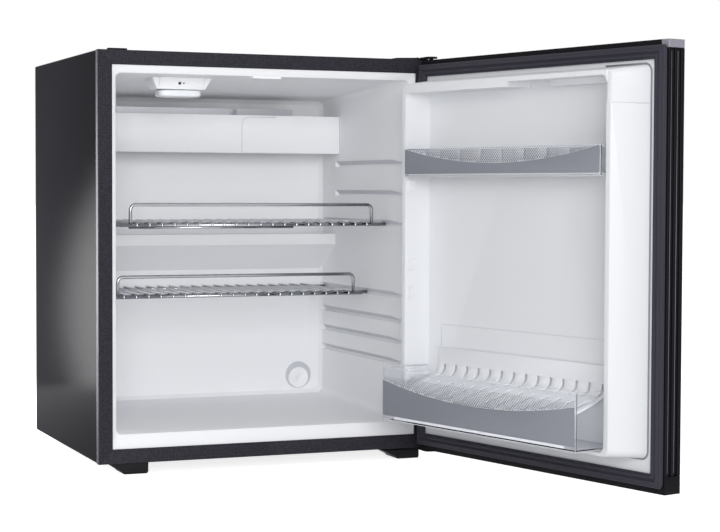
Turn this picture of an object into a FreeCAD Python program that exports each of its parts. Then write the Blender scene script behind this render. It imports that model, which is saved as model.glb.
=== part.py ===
import FreeCAD, Part
import Sketcher
import math
import os

# Minibar fridge with its door swung open: a black case with a white liner, two wire shelves,
# two racks on the door and a silent absorption cooling unit on the back.
# X runs to the right along the front, Y into the cabinet, Z up; sketches measure from the middle of the
# case, its front face and the floor, and every piece is then moved so that the origin lies under the
# front left foot.

doc = FreeCAD.newDocument("minibar")
sheet = doc.addObject("Spreadsheet::Sheet", "sizes")
vec = FreeCAD.Vector
axisX = vec(1, 0, 0)
axisY = vec(0, 1, 0)
axisZ = vec(0, 0, 1)
nodes = []
rows = []


class Size:
    # A length that knows its number and the formula on the sheet that gives it.
    def __init__(self, value, text):
        self.value = value
        self.text = text

    def join(self, sign, other, value):
        text = other.text if isinstance(other, Size) else repr(other)
        return Size(value, "(%s %s %s)" % (self.text, sign, text))

    def __add__(self, other):
        return self.join("+", other, self.value + number(other))

    def __sub__(self, other):
        return self.join("-", other, self.value - number(other))

    def __mul__(self, other):
        return self.join("*", other, self.value * number(other))

    def __truediv__(self, other):
        return self.join("/", other, self.value / number(other))

    def __neg__(self):
        return Size(-self.value, "(-1 * %s)" % self.text)


def number(item):
    return item.value if isinstance(item, Size) else float(item)


def size(alias, value):
    rows.append(alias)
    row = len(rows)
    sheet.set("A%d" % row, alias)
    sheet.set("B%d" % row, repr(value))
    sheet.setAlias("B%d" % row, alias)
    return Size(value, "sizes." + alias)


# Case and front frame
caseWidth = size("caseWidth", 504.0)
caseHeight = size("caseHeight", 580.0)
caseDepth = size("caseDepth", 400.0)
caseRadius = size("caseRadius", 3.0)
steelSheet = size("steelSheet", 1.2)
footHeight = size("footHeight", 16.0)
frameBorder = size("frameBorder", 20.5)
stripPlate = size("stripPlate", 3.0)
stripDepth = size("stripDepth", 12.0)
stripWall = size("stripWall", 2.0)
stripRound = size("stripRound", 1.0)
seatGap = size("seatGap", 0.2)
slideGap = size("slideGap", 0.3)

# Liner of the cabinet
linerWall = size("linerWall", 2.5)
throatAt = size("throatAt", 9.0)
throatStep = size("throatStep", 7.0)
flareAt = size("flareAt", 60.0)
sideWall = size("sideWall", 34.0)
backFoam = size("backFoam", 48.0)
sillHeight = size("sillHeight", 40.0)
floorFront = size("floorFront", 42.0)
floorBack = size("floorBack", 48.0)
throatDrop = size("throatDrop", 31.0)
ceilingFront = size("ceilingFront", 32.0)
ceilingBack = size("ceilingBack", 48.0)
mouthRound = size("mouthRound", 8.0)
cavityRound = size("cavityRound", 12.0)
backBevel = size("backBevel", 6.0)
grooveDepth = size("grooveDepth", 7.0)
grooveHeight = size("grooveHeight", 9.5)
grooveMouth = size("grooveMouth", 3.0)
grooveEnd = size("grooveEnd", 2.0)
shortGrooveEnd = size("shortGrooveEnd", 62.0)
ledgeDepth = size("ledgeDepth", 62.0)
ledgeTop = caseHeight * size("ledgeShare", 0.5414)
ledgeLip = size("ledgeLip", 17.0)
ledgeHeight = size("ledgeHeight", 59.0)
gutterRim = size("gutterRim", 6.0)
gutterDepth = size("gutterDepth", 8.0)
bossWidth = size("bossWidth", 43.0)
bossDepth = size("bossDepth", 14.0)
bossHeight = size("bossHeight", 3.0)

# Ceiling light
lightInset = size("lightInset", 106.7)
lightLength = size("lightLength", 91.0)
lightDepth = size("lightDepth", 42.0)
lightSetback = size("lightSetback", 2.0)
lightHeight = size("lightHeight", 17.0)
lightSlant = size("lightSlant", 5.0)
lightCap = size("lightCap", 12.0)
lightTaper = size("lightTaper", 9.0)
lensLength = size("lensLength", 64.0)
lensDepth = size("lensDepth", 36.0)
lensHeight = size("lensHeight", 11.0)
lensRound = size("lensRound", 8.0)
sensorBore = size("sensorBore", 4.4)
sensorDepth = size("sensorDepth", 4.0)
sensorOffset = size("sensorOffset", 3.0)

# Evaporator and its cover
coverSetback = size("coverSetback", 80.0)
coverDrop = size("coverDrop", 136.0)
coverHeight = size("coverHeight", 60.0)
coverSheet = size("coverSheet", 2.5)
coverReturn = size("coverReturn", 26.0)
coverFoot = size("coverFoot", 14.0)
clipLength = size("clipLength", 9.0)
finDrop = size("finDrop", 125.0)
finHeight = size("finHeight", 60.0)
finReach = size("finReach", 46.0)
finSheet = size("finSheet", 1.5)
finSideGap = size("finSideGap", 73.0)
finBase = size("finBase", 4.0)
finSplitAt = size("finSplitAt", 46.0)
finSplitGap = size("finSplitGap", 10.0)

# Wall plug
plugInset = size("plugInset", 41.0)
plugUp = size("plugUp", 74.0)
plugFace = size("plugFace", 35.0)
plugRecess = size("plugRecess", 45.0)
recessRise = size("recessRise", 4.0)
plugProud = size("plugProud", 2.5)
recessDepth = size("recessDepth", 1.7)
plugSpigot = size("plugSpigot", 20.0)
plugLength = size("plugLength", 14.0)

# Feet
footInset = size("footInset", 15.0)
footRightInset = size("footRightInset", 9.7)
footLength = size("footLength", 59.0)
footRamp = size("footRamp", 20.0)
footBevel = size("footBevel", 3.0)
footFront = size("footFront", 4.0)
footDepth = size("footDepth", 44.0)
footCorner = size("footCorner", 5.0)
footRearGap = size("footRearGap", 12.0)

# Door and hinge
doorOpen = size("doorOpen", 103.4)
doorThick = size("doorThick", 37.0)
doorOverhang = size("doorOverhang", 2.0)
doorGapLow = size("doorGapLow", 1.0)
doorGapHigh = size("doorGapHigh", 3.0)
hingeInset = size("hingeInset", 6.0)
hingeForward = size("hingeForward", 22.0)
hingePin = size("hingePin", 6.0)
pinFit = size("pinFit", 0.08)
bushWall = size("bushWall", 1.5)
bracketSheet = size("bracketSheet", 2.5)
bracketHalf = size("bracketHalf", 9.0)
bracketReach = size("bracketReach", 46.0)
bracketBack = size("bracketBack", 58.0)
bracketNeck = size("bracketNeck", 14.0)
screwShank = size("screwShank", 4.0)
screwHead = size("screwHead", 8.0)
screwRise = size("screwRise", 2.2)
screwLength = size("screwLength", 10.0)
screwClear = size("screwClear", 0.3)
screwInset = size("screwInset", 5.0)
screwSetback = size("screwSetback", 9.0)
capAcross = size("capAcross", 27.0)
capInset = size("capInset", 16.0)
capDepth = size("capDepth", 11.0)
capHeight = size("capHeight", 2.2)
capRound = size("capRound", 1.5)
panelSheet = size("panelSheet", 1.4)
edgeWidth = size("edgeWidth", 14.0)
edgeGroove = size("edgeGroove", 3.5)
edgeGrooveWide = size("edgeGrooveWide", 6.0)
edgeGrooveStep = size("edgeGrooveStep", 11.0)
edgeGrooveInset = size("edgeGrooveInset", 5.0)
edgeCapHigh = size("edgeCapHigh", 10.5)
edgeCapLow = size("edgeCapLow", 23.0)
edgeRound = size("edgeRound", 1.5)
trimWidth = size("trimWidth", 14.0)
gasketThick = size("gasketThick", 5.7)
gasketWidth = size("gasketWidth", 17.5)
gasketOuter = size("gasketOuter", 0.5)
gasketLow = size("gasketLow", 9.1)
gasketHigh = size("gasketHigh", 10.1)
gasketBase = size("gasketBase", 3.8)
gasketRidge = size("gasketRidge", 4.0)
gasketInner = size("gasketInner", 2.5)
gasketPitch = size("gasketPitch", 6.5)
gasketGap = size("gasketGap", 0.3)
flangeRound = size("flangeRound", 4.0)
flangeInset = size("flangeInset", 1.0)

# Door liner
dykeHeight = size("dykeHeight", 54.0)
dykeBaseGap = size("dykeBaseGap", 8.0)
dykeSlope = size("dykeSlope", 10.5)
dykeHead = size("dykeHead", 9.0)
dykeFoot = size("dykeFoot", 6.0)
dykeWidth = size("dykeWidth", 8.0)
dykeStep = size("dykeStep", 1.5)
dykeStepDrop = size("dykeStepDrop", 83.0)
dykeTopDrop = size("dykeTopDrop", 42.0)
dykeTopWidth = size("dykeTopWidth", 13.0)
dykeLip = size("dykeLip", 6.0)
reliefAt = size("reliefAt", 16.0)
reliefPadAt = size("reliefPadAt", 70.0)
reliefPadTall = size("reliefPadTall", 8.0)
reliefPadDeep = size("reliefPadDeep", 15.0)
dykeBottom = size("dykeBottom", 50.0)
dykeBottomWidth = size("dykeBottomWidth", 4.0)
dykeRound = size("dykeRound", 10.0)
panelLevel = size("panelLevel", 10.5)
wellRound = size("wellRound", 10.0)
lugReach = size("lugReach", 4.6)
lugWide = size("lugWide", 10.0)
lugTall = size("lugTall", 16.0)
lugSetback = size("lugSetback", 6.0)

# Racks on the door
rackWall = size("rackWall", 2.2)
rackGap = size("rackGap", 5.2)
rackBack = size("rackBack", 6.0)
bandSheet = size("bandSheet", 1.2)
bandGap = size("bandGap", 0.1)
upperRackDrop = size("upperRackDrop", 175.0)
upperRackTall = size("upperRackTall", 40.0)
upperRackFront = size("upperRackFront", 59.0)
upperBandLow = size("upperBandLow", 4.0)
upperBandEnd = size("upperBandEnd", 35.0)
upperBandSag = size("upperBandSag", 21.0)
lowerRackLow = size("lowerRackLow", 58.0)
lowerRackTall = size("lowerRackTall", 75.0)
lowerRackFront = size("lowerRackFront", 97.0)
lowerBandLow = size("lowerBandLow", 6.5)
lowerBandEnd = size("lowerBandEnd", 50.5)
lowerBandSag = size("lowerBandSag", 19.5)
ribWide = size("ribWide", 12.0)
ribTall = size("ribTall", 5.0)
trayWall = size("trayWall", 2.5)
trayBack = size("trayBack", 1.2)
upperTrayInset = size("upperTrayInset", 2.5)
upperSlotWide = size("upperSlotWide", 29.0)
upperSlotMargin = size("upperSlotMargin", 37.6)
upperSlotTall = size("upperSlotTall", 15.0)
upperSlotDrop = size("upperSlotDrop", 2.5)
lowerTrayInset = size("lowerTrayInset", 24.3)
lowerTrayTall = size("lowerTrayTall", 102.0)
lowerTrayKnee = size("lowerTrayKnee", 66.0)
lowerTrayFall = size("lowerTrayFall", 26.0)
lowerTrayBend = size("lowerTrayBend", 16.0)
lowerSlotWide = size("lowerSlotWide", 6.0)
lowerSlotMargin = size("lowerSlotMargin", 13.5)
lowerSlotRise = size("lowerSlotRise", 12.0)
lowerSlotRun = size("lowerSlotRun", 14.0)
lowerFluteWide = size("lowerFluteWide", 9.0)
lowerFluteDeep = size("lowerFluteDeep", 4.0)
lowerFluteStart = size("lowerFluteStart", 24.0)
lowerFluteEnd = size("lowerFluteEnd", 8.0)

# Wire shelves
barWire = size("barWire", 5.0)
sideWire = size("sideWire", 4.4)
deckWire = size("deckWire", 3.0)
shelfSideGap = size("shelfSideGap", 28.0)
shelfRearGap = size("shelfRearGap", 7.0)
shelfTip = size("shelfTip", 3.5)
frontTip = size("frontTip", 13.0)
carrierBack = size("carrierBack", 25.0)
deckMargin = size("deckMargin", 11.0)
deckOverhang = size("deckOverhang", 2.0)
weldGap = size("weldGap", 0.1)
guardInset = size("guardInset", 2.0)
guardRise = size("guardRise", 30.0)
guardBend = size("guardBend", 8.0)
braceBack = size("braceBack", 2.0)
braceDrop = size("braceDrop", 3.5)
braceWire = size("braceWire", 3.6)
braceReach = size("braceReach", 62.0)
upperShelfAt = size("upperShelfAt", 66.0)
lowerShelfAt = size("lowerShelfAt", 138.0)
upperShelfUp = caseHeight * size("upperShelfShare", 0.5707)
lowerShelfUp = caseHeight * size("lowerShelfShare", 0.3845)

# Cooling unit on the back
backInset = size("backInset", 0.4)
unitAt = size("unitAt", 32.0)
pipeBore = size("pipeBore", 14.0)
pipeClear = size("pipeClear", 1.0)
pipeBend = size("pipeBend", 26.0)
railInset = size("railInset", 97.0)
railTall = size("railTall", 22.0)
railDeep = size("railDeep", 14.0)
railSheet = size("railSheet", 1.5)
railHighDrop = size("railHighDrop", 140.0)
railLowUp = size("railLowUp", 118.0)
boilerInset = size("boilerInset", 57.0)
boilerBore = size("boilerBore", 58.0)
boilerLow = size("boilerLow", 60.0)
boilerDrop = size("boilerDrop", 190.0)
boilerRound = size("boilerRound", 6.0)
condenserDrop = size("condenserDrop", 40.0)
condenserInset = size("condenserInset", 67.0)
entryDrop = size("entryDrop", 94.0)
returnInset = size("returnInset", 132.0)
returnDrop = size("returnDrop", 110.0)
condenserFin = size("condenserFin", 52.0)
condenserFinSheet = size("condenserFinSheet", 1.0)
condenserFinInset = size("condenserFinInset", 108.0)
vesselUp = size("vesselUp", 72.0)
vesselBore = size("vesselBore", 54.0)
vesselLeftInset = size("vesselLeftInset", 52.0)
vesselRightInset = size("vesselRightInset", 192.0)
vesselRim = size("vesselRim", 3.0)
vesselDish = size("vesselDish", 6.0)
coilLeftInset = size("coilLeftInset", 172.0)
coilRightInset = size("coilRightInset", 102.0)
coilUp = size("coilUp", 160.0)
coilPitch = size("coilPitch", 110.0)
boxInset = size("boxInset", 147.0)
boxWide = size("boxWide", 56.0)
boxUp = size("boxUp", 36.0)
boxTall = size("boxTall", 62.0)
boxDeep = size("boxDeep", 36.0)
boxRound = size("boxRound", 4.0)
glandNut = size("glandNut", 18.0)
glandThread = size("glandThread", 12.0)
glandBore = size("glandBore", 8.0)
glandLong = size("glandLong", 14.0)

wireSides = 8
guardSides = 10
pipeSides = 8
rodSides = 12
roundSides = 24
deckCount = 20
upperSlotCount = 8
lowerSlotCount = 14
evaporatorFinCount = 15
condenserFinCount = 16
coilRuns = 2

# Places that several pieces share
half = caseWidth / 2
base = footHeight
top = footHeight + caseHeight
caseFront = stripDepth + seatGap
linerFront = stripPlate + seatGap
mouthHalf = half - frameBorder
throatHalf = mouthHalf - throatStep
cavityHalf = half - sideWall
cavityBack = caseDepth - backFoam
flangeBack = linerFront + linerWall
hingeX = half - hingeInset
hingeY = -hingeForward
doorLow = base + doorGapLow
doorHigh = top - doorGapHigh
doorLeft = -half - doorOverhang
edgeInner = doorLeft + edgeWidth
flangeFace = -(gasketThick + gasketGap)
flangeUnder = flangeFace - linerWall
trimFace = flangeUnder - seatGap
panelFace = -doorThick
panelUnder = panelFace + panelSheet
trimBack = panelUnder + seatGap
gasketSide = half - gasketOuter
gasketBottom = base + gasketLow
gasketTop = top - gasketHigh
dykeBase = gasketSide - gasketWidth - dykeBaseGap
dykeCrest = dykeBase - dykeSlope
wellHalf = dykeCrest - dykeWidth
rackHalf = wellHalf - rackGap
rackBackAt = panelLevel + rackBack
unitY = caseDepth + unitAt
boilerAcross = half - boilerInset
condenserReach = half - condenserInset
returnAcross = half - returnInset
noWall = Size(0.0, "0.0")
shiftX = half - footInset - footRamp - (footLength - footRamp) / 2
shiftY = footFront + footDepth / 2


def ceilingAt(depth):
    # Height of the sloping ceiling at a depth behind the flared mouth.
    fall = (ceilingBack - ceilingFront) / (cavityBack - flareAt)
    return top - ceilingFront - fall * (depth - flareAt)


# Sketch tools: every vertex is tied to the sheet through its distances from the sketch origin.
def newBody(label):
    body = doc.addObject("PartDesign::Body", label)
    body.Label = label
    return body


def originPlane(body, role):
    return [item for item in body.Origin.OriginFeatures if item.Role == role][0]


def newSketch(body, role, at=None):
    sketch = body.newObject("Sketcher::SketchObject", "outline")
    sketch.AttachmentSupport = [(originPlane(body, role), "")]
    sketch.MapMode = "FlatFace"
    if at is not None:
        shift = -at if role == "XZ_Plane" else at
        sketch.AttachmentOffset = FreeCAD.Placement(vec(0, 0, shift.value), FreeCAD.Rotation())
        sketch.setExpression("AttachmentOffset.Base.z", shift.text)
    return sketch


def tie(sketch, ties):
    # ties holds (kind, geometry, point, size); a size of none keeps the point on the sketch's own axis.
    for kind, geo, pos, value in ties:
        if value is None:
            line = -2 if kind == "DistanceX" else -1
            sketch.addConstraint(Sketcher.Constraint("PointOnObject", geo, pos, line))
            continue
        if kind in ("Radius", "Diameter"):
            index = sketch.addConstraint(Sketcher.Constraint(kind, geo, value.value))
        else:
            index = sketch.addConstraint(Sketcher.Constraint(kind, -1, 1, geo, pos, value.value))
        sketch.setExpression("Constraints[%d]" % index, value.text)


def point(spot):
    return vec(0 if spot[0] is None else spot[0].value, 0 if spot[1] is None else spot[1].value, 0)


def pinned(geo, pos, spot):
    return [("DistanceX", geo, pos, spot[0]), ("DistanceY", geo, pos, spot[1])]


def polygon(sketch, spots):
    first = sketch.GeometryCount
    count = len(spots)
    lines = [Part.LineSegment(point(spots[i]), point(spots[(i + 1) % count])) for i in range(count)]
    sketch.addGeometry(lines)
    ends = [(first + i, 2, first + (i + 1) % count, 1) for i in range(count)]
    sketch.addConstraint([Sketcher.Constraint("Coincident", *end) for end in ends])
    for i in range(count):
        tie(sketch, pinned(first + i, 1, spots[i]))


def box(sketch, left, right, low, high):
    polygon(sketch, [(left, low), (right, low), (right, high), (left, high)])


def disc(sketch, x, y, across):
    geo = sketch.addGeometry(Part.Circle(point((x, y)), axisZ, across.value / 2))
    tie(sketch, pinned(geo, 3, (x, y)) + [("Diameter", geo, 0, across)])


def facetRound(sketch, x, y, across, sides):
    # Regular polygon for a hidden or small repeated round form, which keeps its facets few.
    spots = []
    for i in range(sides):
        turn = math.radians(360 / sides * (i + 0.5))
        spots.append((x + across * (math.cos(turn) / 2), y + across * (math.sin(turn) / 2)))
    polygon(sketch, spots)


def arcOf(centre, start, end):
    # Arc that runs counter-clockwise from start to end about its centre.
    first = math.atan2(start.y - centre.y, start.x - centre.x)
    last = math.atan2(end.y - centre.y, end.x - centre.x)
    circle = Part.Circle(centre, axisZ, (start - centre).Length)
    return Part.ArcOfCircle(circle, first, last)


def roundBox(sketch, left, right, low, high, radius):
    first = sketch.GeometryCount
    runs = [((left + radius, low), (right - radius, low)), ((right, low + radius), (right, high - radius)),
            ((right - radius, high), (left + radius, high)), ((left, high - radius), (left, low + radius))]
    centres = [(right - radius, low + radius), (right - radius, high - radius),
               (left + radius, high - radius), (left + radius, low + radius)]
    ties = []
    for i in range(4):
        start, end = runs[i]
        sketch.addGeometry(Part.LineSegment(point(start), point(end)))
        sketch.addGeometry(arcOf(point(centres[i]), point(end), point(runs[(i + 1) % 4][0])))
        ties += pinned(first + 2 * i, 1, start) + pinned(first + 2 * i, 2, end)
        ties += [("Radius", first + 2 * i + 1, 0, radius)]
    joins = [Sketcher.Constraint("Coincident", first + i, 2, first + (i + 1) % 8, 1) for i in range(8)]
    sketch.addConstraint(joins)
    tie(sketch, ties)


def bentPath(sketch, spots, radius):
    # Open path of square-on runs with a tangent arc at every corner.
    last = len(spots) - 2
    ties = []
    joins = []
    ends = []
    for i in range(last + 1):
        start, end = spots[i], spots[i + 1]
        along = 0 if abs(point(end).x - point(start).x) > abs(point(end).y - point(start).y) else 1
        forward = end[along].value > start[along].value
        cut = radius if forward else -radius
        start, end = list(start), list(end)
        if i > 0:
            start[along] = start[along] + cut
        if i < last:
            end[along] = end[along] - cut
        geo = sketch.addGeometry(Part.LineSegment(point(start), point(end)))
        ties += pinned(geo, 1, start) + pinned(geo, 2, end)
        ends.append((geo, start, end, along))
    for i in range(last):
        geo, start, end, along = ends[i]
        nextGeo, nextStart = ends[i + 1][0], ends[i + 1][1]
        centre = (nextStart[0], end[1]) if along == 1 else (end[0], nextStart[1])
        before, after = point(end) - point(start), point(ends[i + 1][2]) - point(nextStart)
        if before.x * after.y - before.y * after.x > 0:
            arc = sketch.addGeometry(arcOf(point(centre), point(end), point(nextStart)))
            joins += [(geo, 2, arc, 1), (arc, 2, nextGeo, 1)]
        else:
            arc = sketch.addGeometry(arcOf(point(centre), point(nextStart), point(end)))
            joins += [(geo, 2, arc, 2), (arc, 1, nextGeo, 1)]
        ties += [("Radius", arc, 0, radius)]
    for join in joins:
        sketch.addConstraint(Sketcher.Constraint("Coincident", *join))
    tie(sketch, ties)


# Feature tools; on the front plane "back" means into the cabinet.
def grow(body, kind, sketch, length, way):
    feature = body.newObject("PartDesign::" + kind, kind.lower())
    feature.Profile = sketch
    feature.AllowMultiFace = True
    feature.Length = length.value
    feature.setExpression("Length", length.text)
    if way == "both":
        feature.SideType = "Symmetric"
    feature.Reversed = way == "back"
    return feature


def pad(body, sketch, length, way="forward"):
    return grow(body, "Pad", sketch, length, way)


def pocket(body, sketch, length, way="forward"):
    return grow(body, "Pocket", sketch, length, way)


def loft(body, kind, sections):
    feature = body.newObject("PartDesign::" + kind, kind.lower())
    feature.Profile = sections[0]
    feature.Sections = sections[1:]
    feature.Ruled = True
    return feature


def pipe(body, path, section):
    feature = body.newObject("PartDesign::AdditivePipe", "pipe")
    feature.Profile = section
    feature.Spine = path
    return feature


def mirrored(body, features):
    feature = body.newObject("PartDesign::Mirrored", "mirrored")
    feature.Originals = features
    feature.MirrorPlane = (originPlane(body, "YZ_Plane"), [""])
    body.Tip = feature
    return feature


def row(body, features, count, length):
    feature = body.newObject("PartDesign::LinearPattern", "row")
    feature.Originals = features
    feature.Direction = (originPlane(body, "X_Axis"), [""])
    feature.Occurrences = count
    feature.Length = length.value
    feature.setExpression("Length", length.text)
    body.Tip = feature
    return feature


def dressed(body, kind, feature, width, test):
    # Fillet or Chamfer on the edges that a test picks by their direction and middle.
    doc.recompute()
    names = []
    for i, edge in enumerate(feature.Shape.Edges):
        ends = [vertex.Point for vertex in edge.Vertexes]
        run = (ends[-1] - ends[0]) if len(ends) > 1 else vec(0, 0, 0)
        if run.Length > 0:
            run.normalize()
        if test(run, edge.CenterOfMass, edge):
            names.append("Edge%d" % (i + 1))
    if not names:
        raise RuntimeError("no edge to dress on " + body.Label)
    dressing = body.newObject("PartDesign::" + kind, kind.lower())
    dressing.Base = (feature, names)
    name = "Radius" if kind == "Fillet" else "Size"
    setattr(dressing, name, width.value)
    dressing.setExpression(name, width.text)
    return dressing


def near(value, item):
    return abs(value - number(item)) < 0.01


def along(run, axis):
    return abs(run.dot(axis)) > 0.999


def placed(item, onDoor=False):
    # Moves a finished piece to the shared origin and swings what hangs on the door.
    placement = FreeCAD.Placement()
    if onDoor:
        swing = FreeCAD.Rotation(axisZ, doorOpen.value)
        hinge = vec(hingeX.value, hingeY.value, 0)
        placement = FreeCAD.Placement(vec(0, 0, 0), swing, hinge)
    shift = FreeCAD.Placement(vec(shiftX.value, -shiftY.value, 0), FreeCAD.Rotation())
    item.Placement = shift.multiply(placement)
    nodes.append(item)


def rod(axis, x, y, z, length, across, sides=None):
    # Straight bar from a start point along a main axis: round, or many-sided where it is small and repeated.
    item = doc.addObject("Part::Prism" if sides else "Part::Cylinder", "rod")
    if sides:
        item.Polygon = sides
    name = "Circumradius" if sides else "Radius"
    setattr(item, name, across.value / 2)
    item.setExpression(name, (across / 2).text)
    item.Height = length.value
    item.setExpression("Height", length.text)
    item.Placement = FreeCAD.Placement(vec(x.value, y.value, z.value), FreeCAD.Rotation(axisZ, axis))
    for name, value in (("x", x), ("y", y), ("z", z)):
        item.setExpression("Placement.Base." + name, value.text)
    return item


def gathered(kind, label, items):
    item = doc.addObject(kind, label)
    item.Label = label
    if kind == "Part::MultiFuse":
        item.Shapes = items
    else:
        item.Links = items
    return item


# Front frame: mitred strips, each a plate with a leg that laps the edge of the case.
def strip(label, plate, leg, side):
    body = newBody(label)
    sketch = newSketch(body, "XZ_Plane")
    polygon(sketch, plate)
    pad(body, sketch, stripPlate, "back")
    sketch = newSketch(body, "XZ_Plane")
    polygon(sketch, leg)
    feature = pad(body, sketch, stripDepth, "back")
    longest = frameBorder.value * 2
    dressed(body, "Fillet", feature, stripRound,
            lambda run, mid, edge: near(mid.y, 0) and along(run, side) and edge.Length > longest)
    placed(body)


def uprightStrip(label, way):
    def spots(width):
        outer, inner = half * way, (half - width) * way
        return [(outer, base + seatGap), (outer, top - seatGap),
                (inner, top - width - seatGap), (inner, base + width + seatGap)]
    strip(label, spots(frameBorder), spots(stripWall), axisZ)


def levelStrip(label, edge, inward, left, right):
    # left and right are none where the strip ends in a mitre at the corner of the case.
    def spots(width):
        far = edge + width * inward
        start = (-half + seatGap, -half + width + seatGap) if left is None else (left, left)
        end = (half - seatGap, half - width - seatGap) if right is None else (right, right)
        return [(start[0], edge), (end[0], edge), (end[1], far), (start[1], far)]
    strip(label, spots(frameBorder), spots(stripWall), axisX)


uprightStrip("frame_left", -1)
uprightStrip("frame_right", 1)
levelStrip("frame_top", top, -1, None, None)
levelStrip("frame_bottom_left", base, 1, None, -seatGap / 2)
levelStrip("frame_bottom_right", base, 1, seatGap / 2, None)

# Where the hinge screws go: one behind the front edge and one further back.
bracketLeft = half - bracketReach
bracketRight = half - seatGap
screwX = bracketRight - screwInset
screwSpots = [(screwX, bracketNeck + screwSetback), (screwX, bracketBack - screwSetback)]
screwHole = screwShank + screwClear
pipeHole = pipeBore + pipeClear


def screwHoles(body, at, length, way):
    sketch = newSketch(body, "XY_Plane", at)
    for x, y in screwSpots:
        facetRound(sketch, x, y, screwHole, rodSides)
    return pocket(body, sketch, length, way)


# Outer case: one folded sheet sleeve behind the front frame.
body = newBody("outer_case")
sketch = newSketch(body, "XZ_Plane", caseFront)
roundBox(sketch, -half, half, base, top, caseRadius)
inner = half - steelSheet
roundBox(sketch, -inner, inner, base + steelSheet, top - steelSheet, caseRadius - steelSheet)
pad(body, sketch, caseDepth - caseFront, "back")
screwHoles(body, top, steelSheet + steelSheet, "forward")
screwHoles(body, base, steelSheet + steelSheet, "back")
placed(body)

# Rear panel inside the sleeve, with holes for the two pipes to the evaporator.
insideHalf = half - steelSheet - seatGap
insideLow = base + steelSheet + seatGap
insideHigh = top - steelSheet - seatGap
panelAt = caseDepth - backInset - steelSheet
entryHigh = top - entryDrop
returnHigh = top - returnDrop


def pipeHoles(sketch):
    facetRound(sketch, -condenserReach, entryHigh, pipeHole, pipeSides)
    facetRound(sketch, -returnAcross, returnHigh, pipeHole, pipeSides)


body = newBody("rear_panel")
sketch = newSketch(body, "XZ_Plane", panelAt)
roundBox(sketch, -insideHalf, insideHalf, insideLow, insideHigh, caseRadius)
pipeHoles(sketch)
pad(body, sketch, steelSheet, "back")
placed(body)


# Cabinet liner: a ruled tub that flares at the mouth, drawn once for the inside and once for the outside.
def tubSections(body, wall, last, square=False):
    # Square sections, for the foam, have neither the rounded corners nor the bevel at the back.
    bevel = noWall if square else backBevel
    stations = [(linerFront, mouthHalf, base + frameBorder, top - frameBorder, mouthRound),
                (throatAt, throatHalf, base + sillHeight, top - throatDrop, mouthRound),
                (flareAt, cavityHalf, base + floorFront, top - ceilingFront, cavityRound),
                (last - backBevel, cavityHalf, base + floorBack, top - ceilingBack, cavityRound),
                (last, cavityHalf - bevel, base + floorBack + bevel, top - ceilingBack - bevel, cavityRound)]
    sections = []
    for depth, wide, low, high, radius in stations:
        sketch = newSketch(body, "XZ_Plane", depth)
        if wall is None:
            roundBox(sketch, -wide, wide, low, high, radius)
        elif square:
            box(sketch, -wide - wall, wide + wall, low - wall, high + wall)
        else:
            roundBox(sketch, -wide - wall, wide + wall, low - wall, high + wall, radius + wall)
        sections.append(sketch)
    return sections


def grooveLevel(name, share):
    return caseHeight * size("grooveShare" + name, share)


longGrooves = [grooveLevel("First", 0.2095), grooveLevel("Second", 0.2647), grooveLevel("Third", 0.3198),
               lowerShelfUp, upperShelfUp]
shortGrooves = [grooveLevel("High", 0.6491), grooveLevel("Top", 0.7293)]


def grooveProfiles(body, levels, wall, front):
    # Each groove has a level floor and a roof that slopes up to the wall.
    sketch = newSketch(body, "XZ_Plane", front)
    inner = cavityHalf - cavityRound
    for level in levels:
        low = base + level
        deep = cavityHalf + grooveDepth
        if wall is None:
            spots = [(inner, low), (deep, low), (deep, low + grooveMouth), (cavityHalf, low + grooveHeight),
                     (inner, low + grooveHeight)]
        else:
            spots = [(inner, low - wall), (deep + wall, low - wall), (deep + wall, low + grooveMouth + wall),
                     (cavityHalf + wall, low + grooveHeight + wall), (inner, low + grooveHeight + wall)]
        polygon(sketch, spots)
    return sketch


grooveSets = [(longGrooves, grooveEnd), (shortGrooves, shortGrooveEnd)]

body = newBody("inner_liner")
loft(body, "AdditiveLoft", tubSections(body, linerWall, cavityBack + linerWall))
sketch = newSketch(body, "XZ_Plane", linerFront)
flangeHalf = half - stripWall - seatGap
roundBox(sketch, -flangeHalf, flangeHalf, base + stripWall + seatGap, top - stripWall - seatGap, caseRadius)
pad(body, sketch, linerWall, "back")
for levels, gap in grooveSets:
    sketch = grooveProfiles(body, levels, linerWall, throatAt)
    bulge = pad(body, sketch, cavityBack - gap + linerWall - throatAt, "back")
    mirrored(body, [bulge])
loft(body, "SubtractiveLoft", tubSections(body, None, cavityBack))
for levels, gap in grooveSets:
    sketch = grooveProfiles(body, levels, None, linerFront)
    cut = pocket(body, sketch, cavityBack - gap - linerFront)
    mirrored(body, [cut])
# Drip ledge under the evaporator: a lip that slopes back to the wall, with a gutter along its top.
ledgeFront = cavityBack - ledgeDepth
ledgeHigh = base + ledgeTop
sketch = newSketch(body, "YZ_Plane")
polygon(sketch, [(ledgeFront, ledgeHigh), (ledgeFront, ledgeHigh - ledgeLip),
                 (cavityBack + seatGap, ledgeHigh - ledgeHeight), (cavityBack + seatGap, ledgeHigh)])
pad(body, sketch, cavityHalf + cavityHalf, "both")
sketch = newSketch(body, "YZ_Plane")
gutterFloor = ledgeHigh - gutterDepth
polygon(sketch, [(ledgeFront + gutterRim, ledgeHigh), (ledgeFront + gutterRim * 2, gutterFloor),
                 (cavityBack - gutterRim * 2, gutterFloor), (cavityBack - gutterRim, ledgeHigh)])
pocket(body, sketch, (cavityHalf - gutterRim) * 2, "both")
# Small moulded boss under the front of the ceiling.
sketch = newSketch(body, "YZ_Plane")
bossFront = throatAt + slideGap
bossTop = top - throatDrop
polygon(sketch, [(bossFront, bossTop - bossHeight), (bossFront + bossDepth, bossTop - bossHeight),
                 (bossFront + bossDepth, bossTop), (bossFront, bossTop + seatGap)])
pad(body, sketch, bossWidth, "both")
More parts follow.
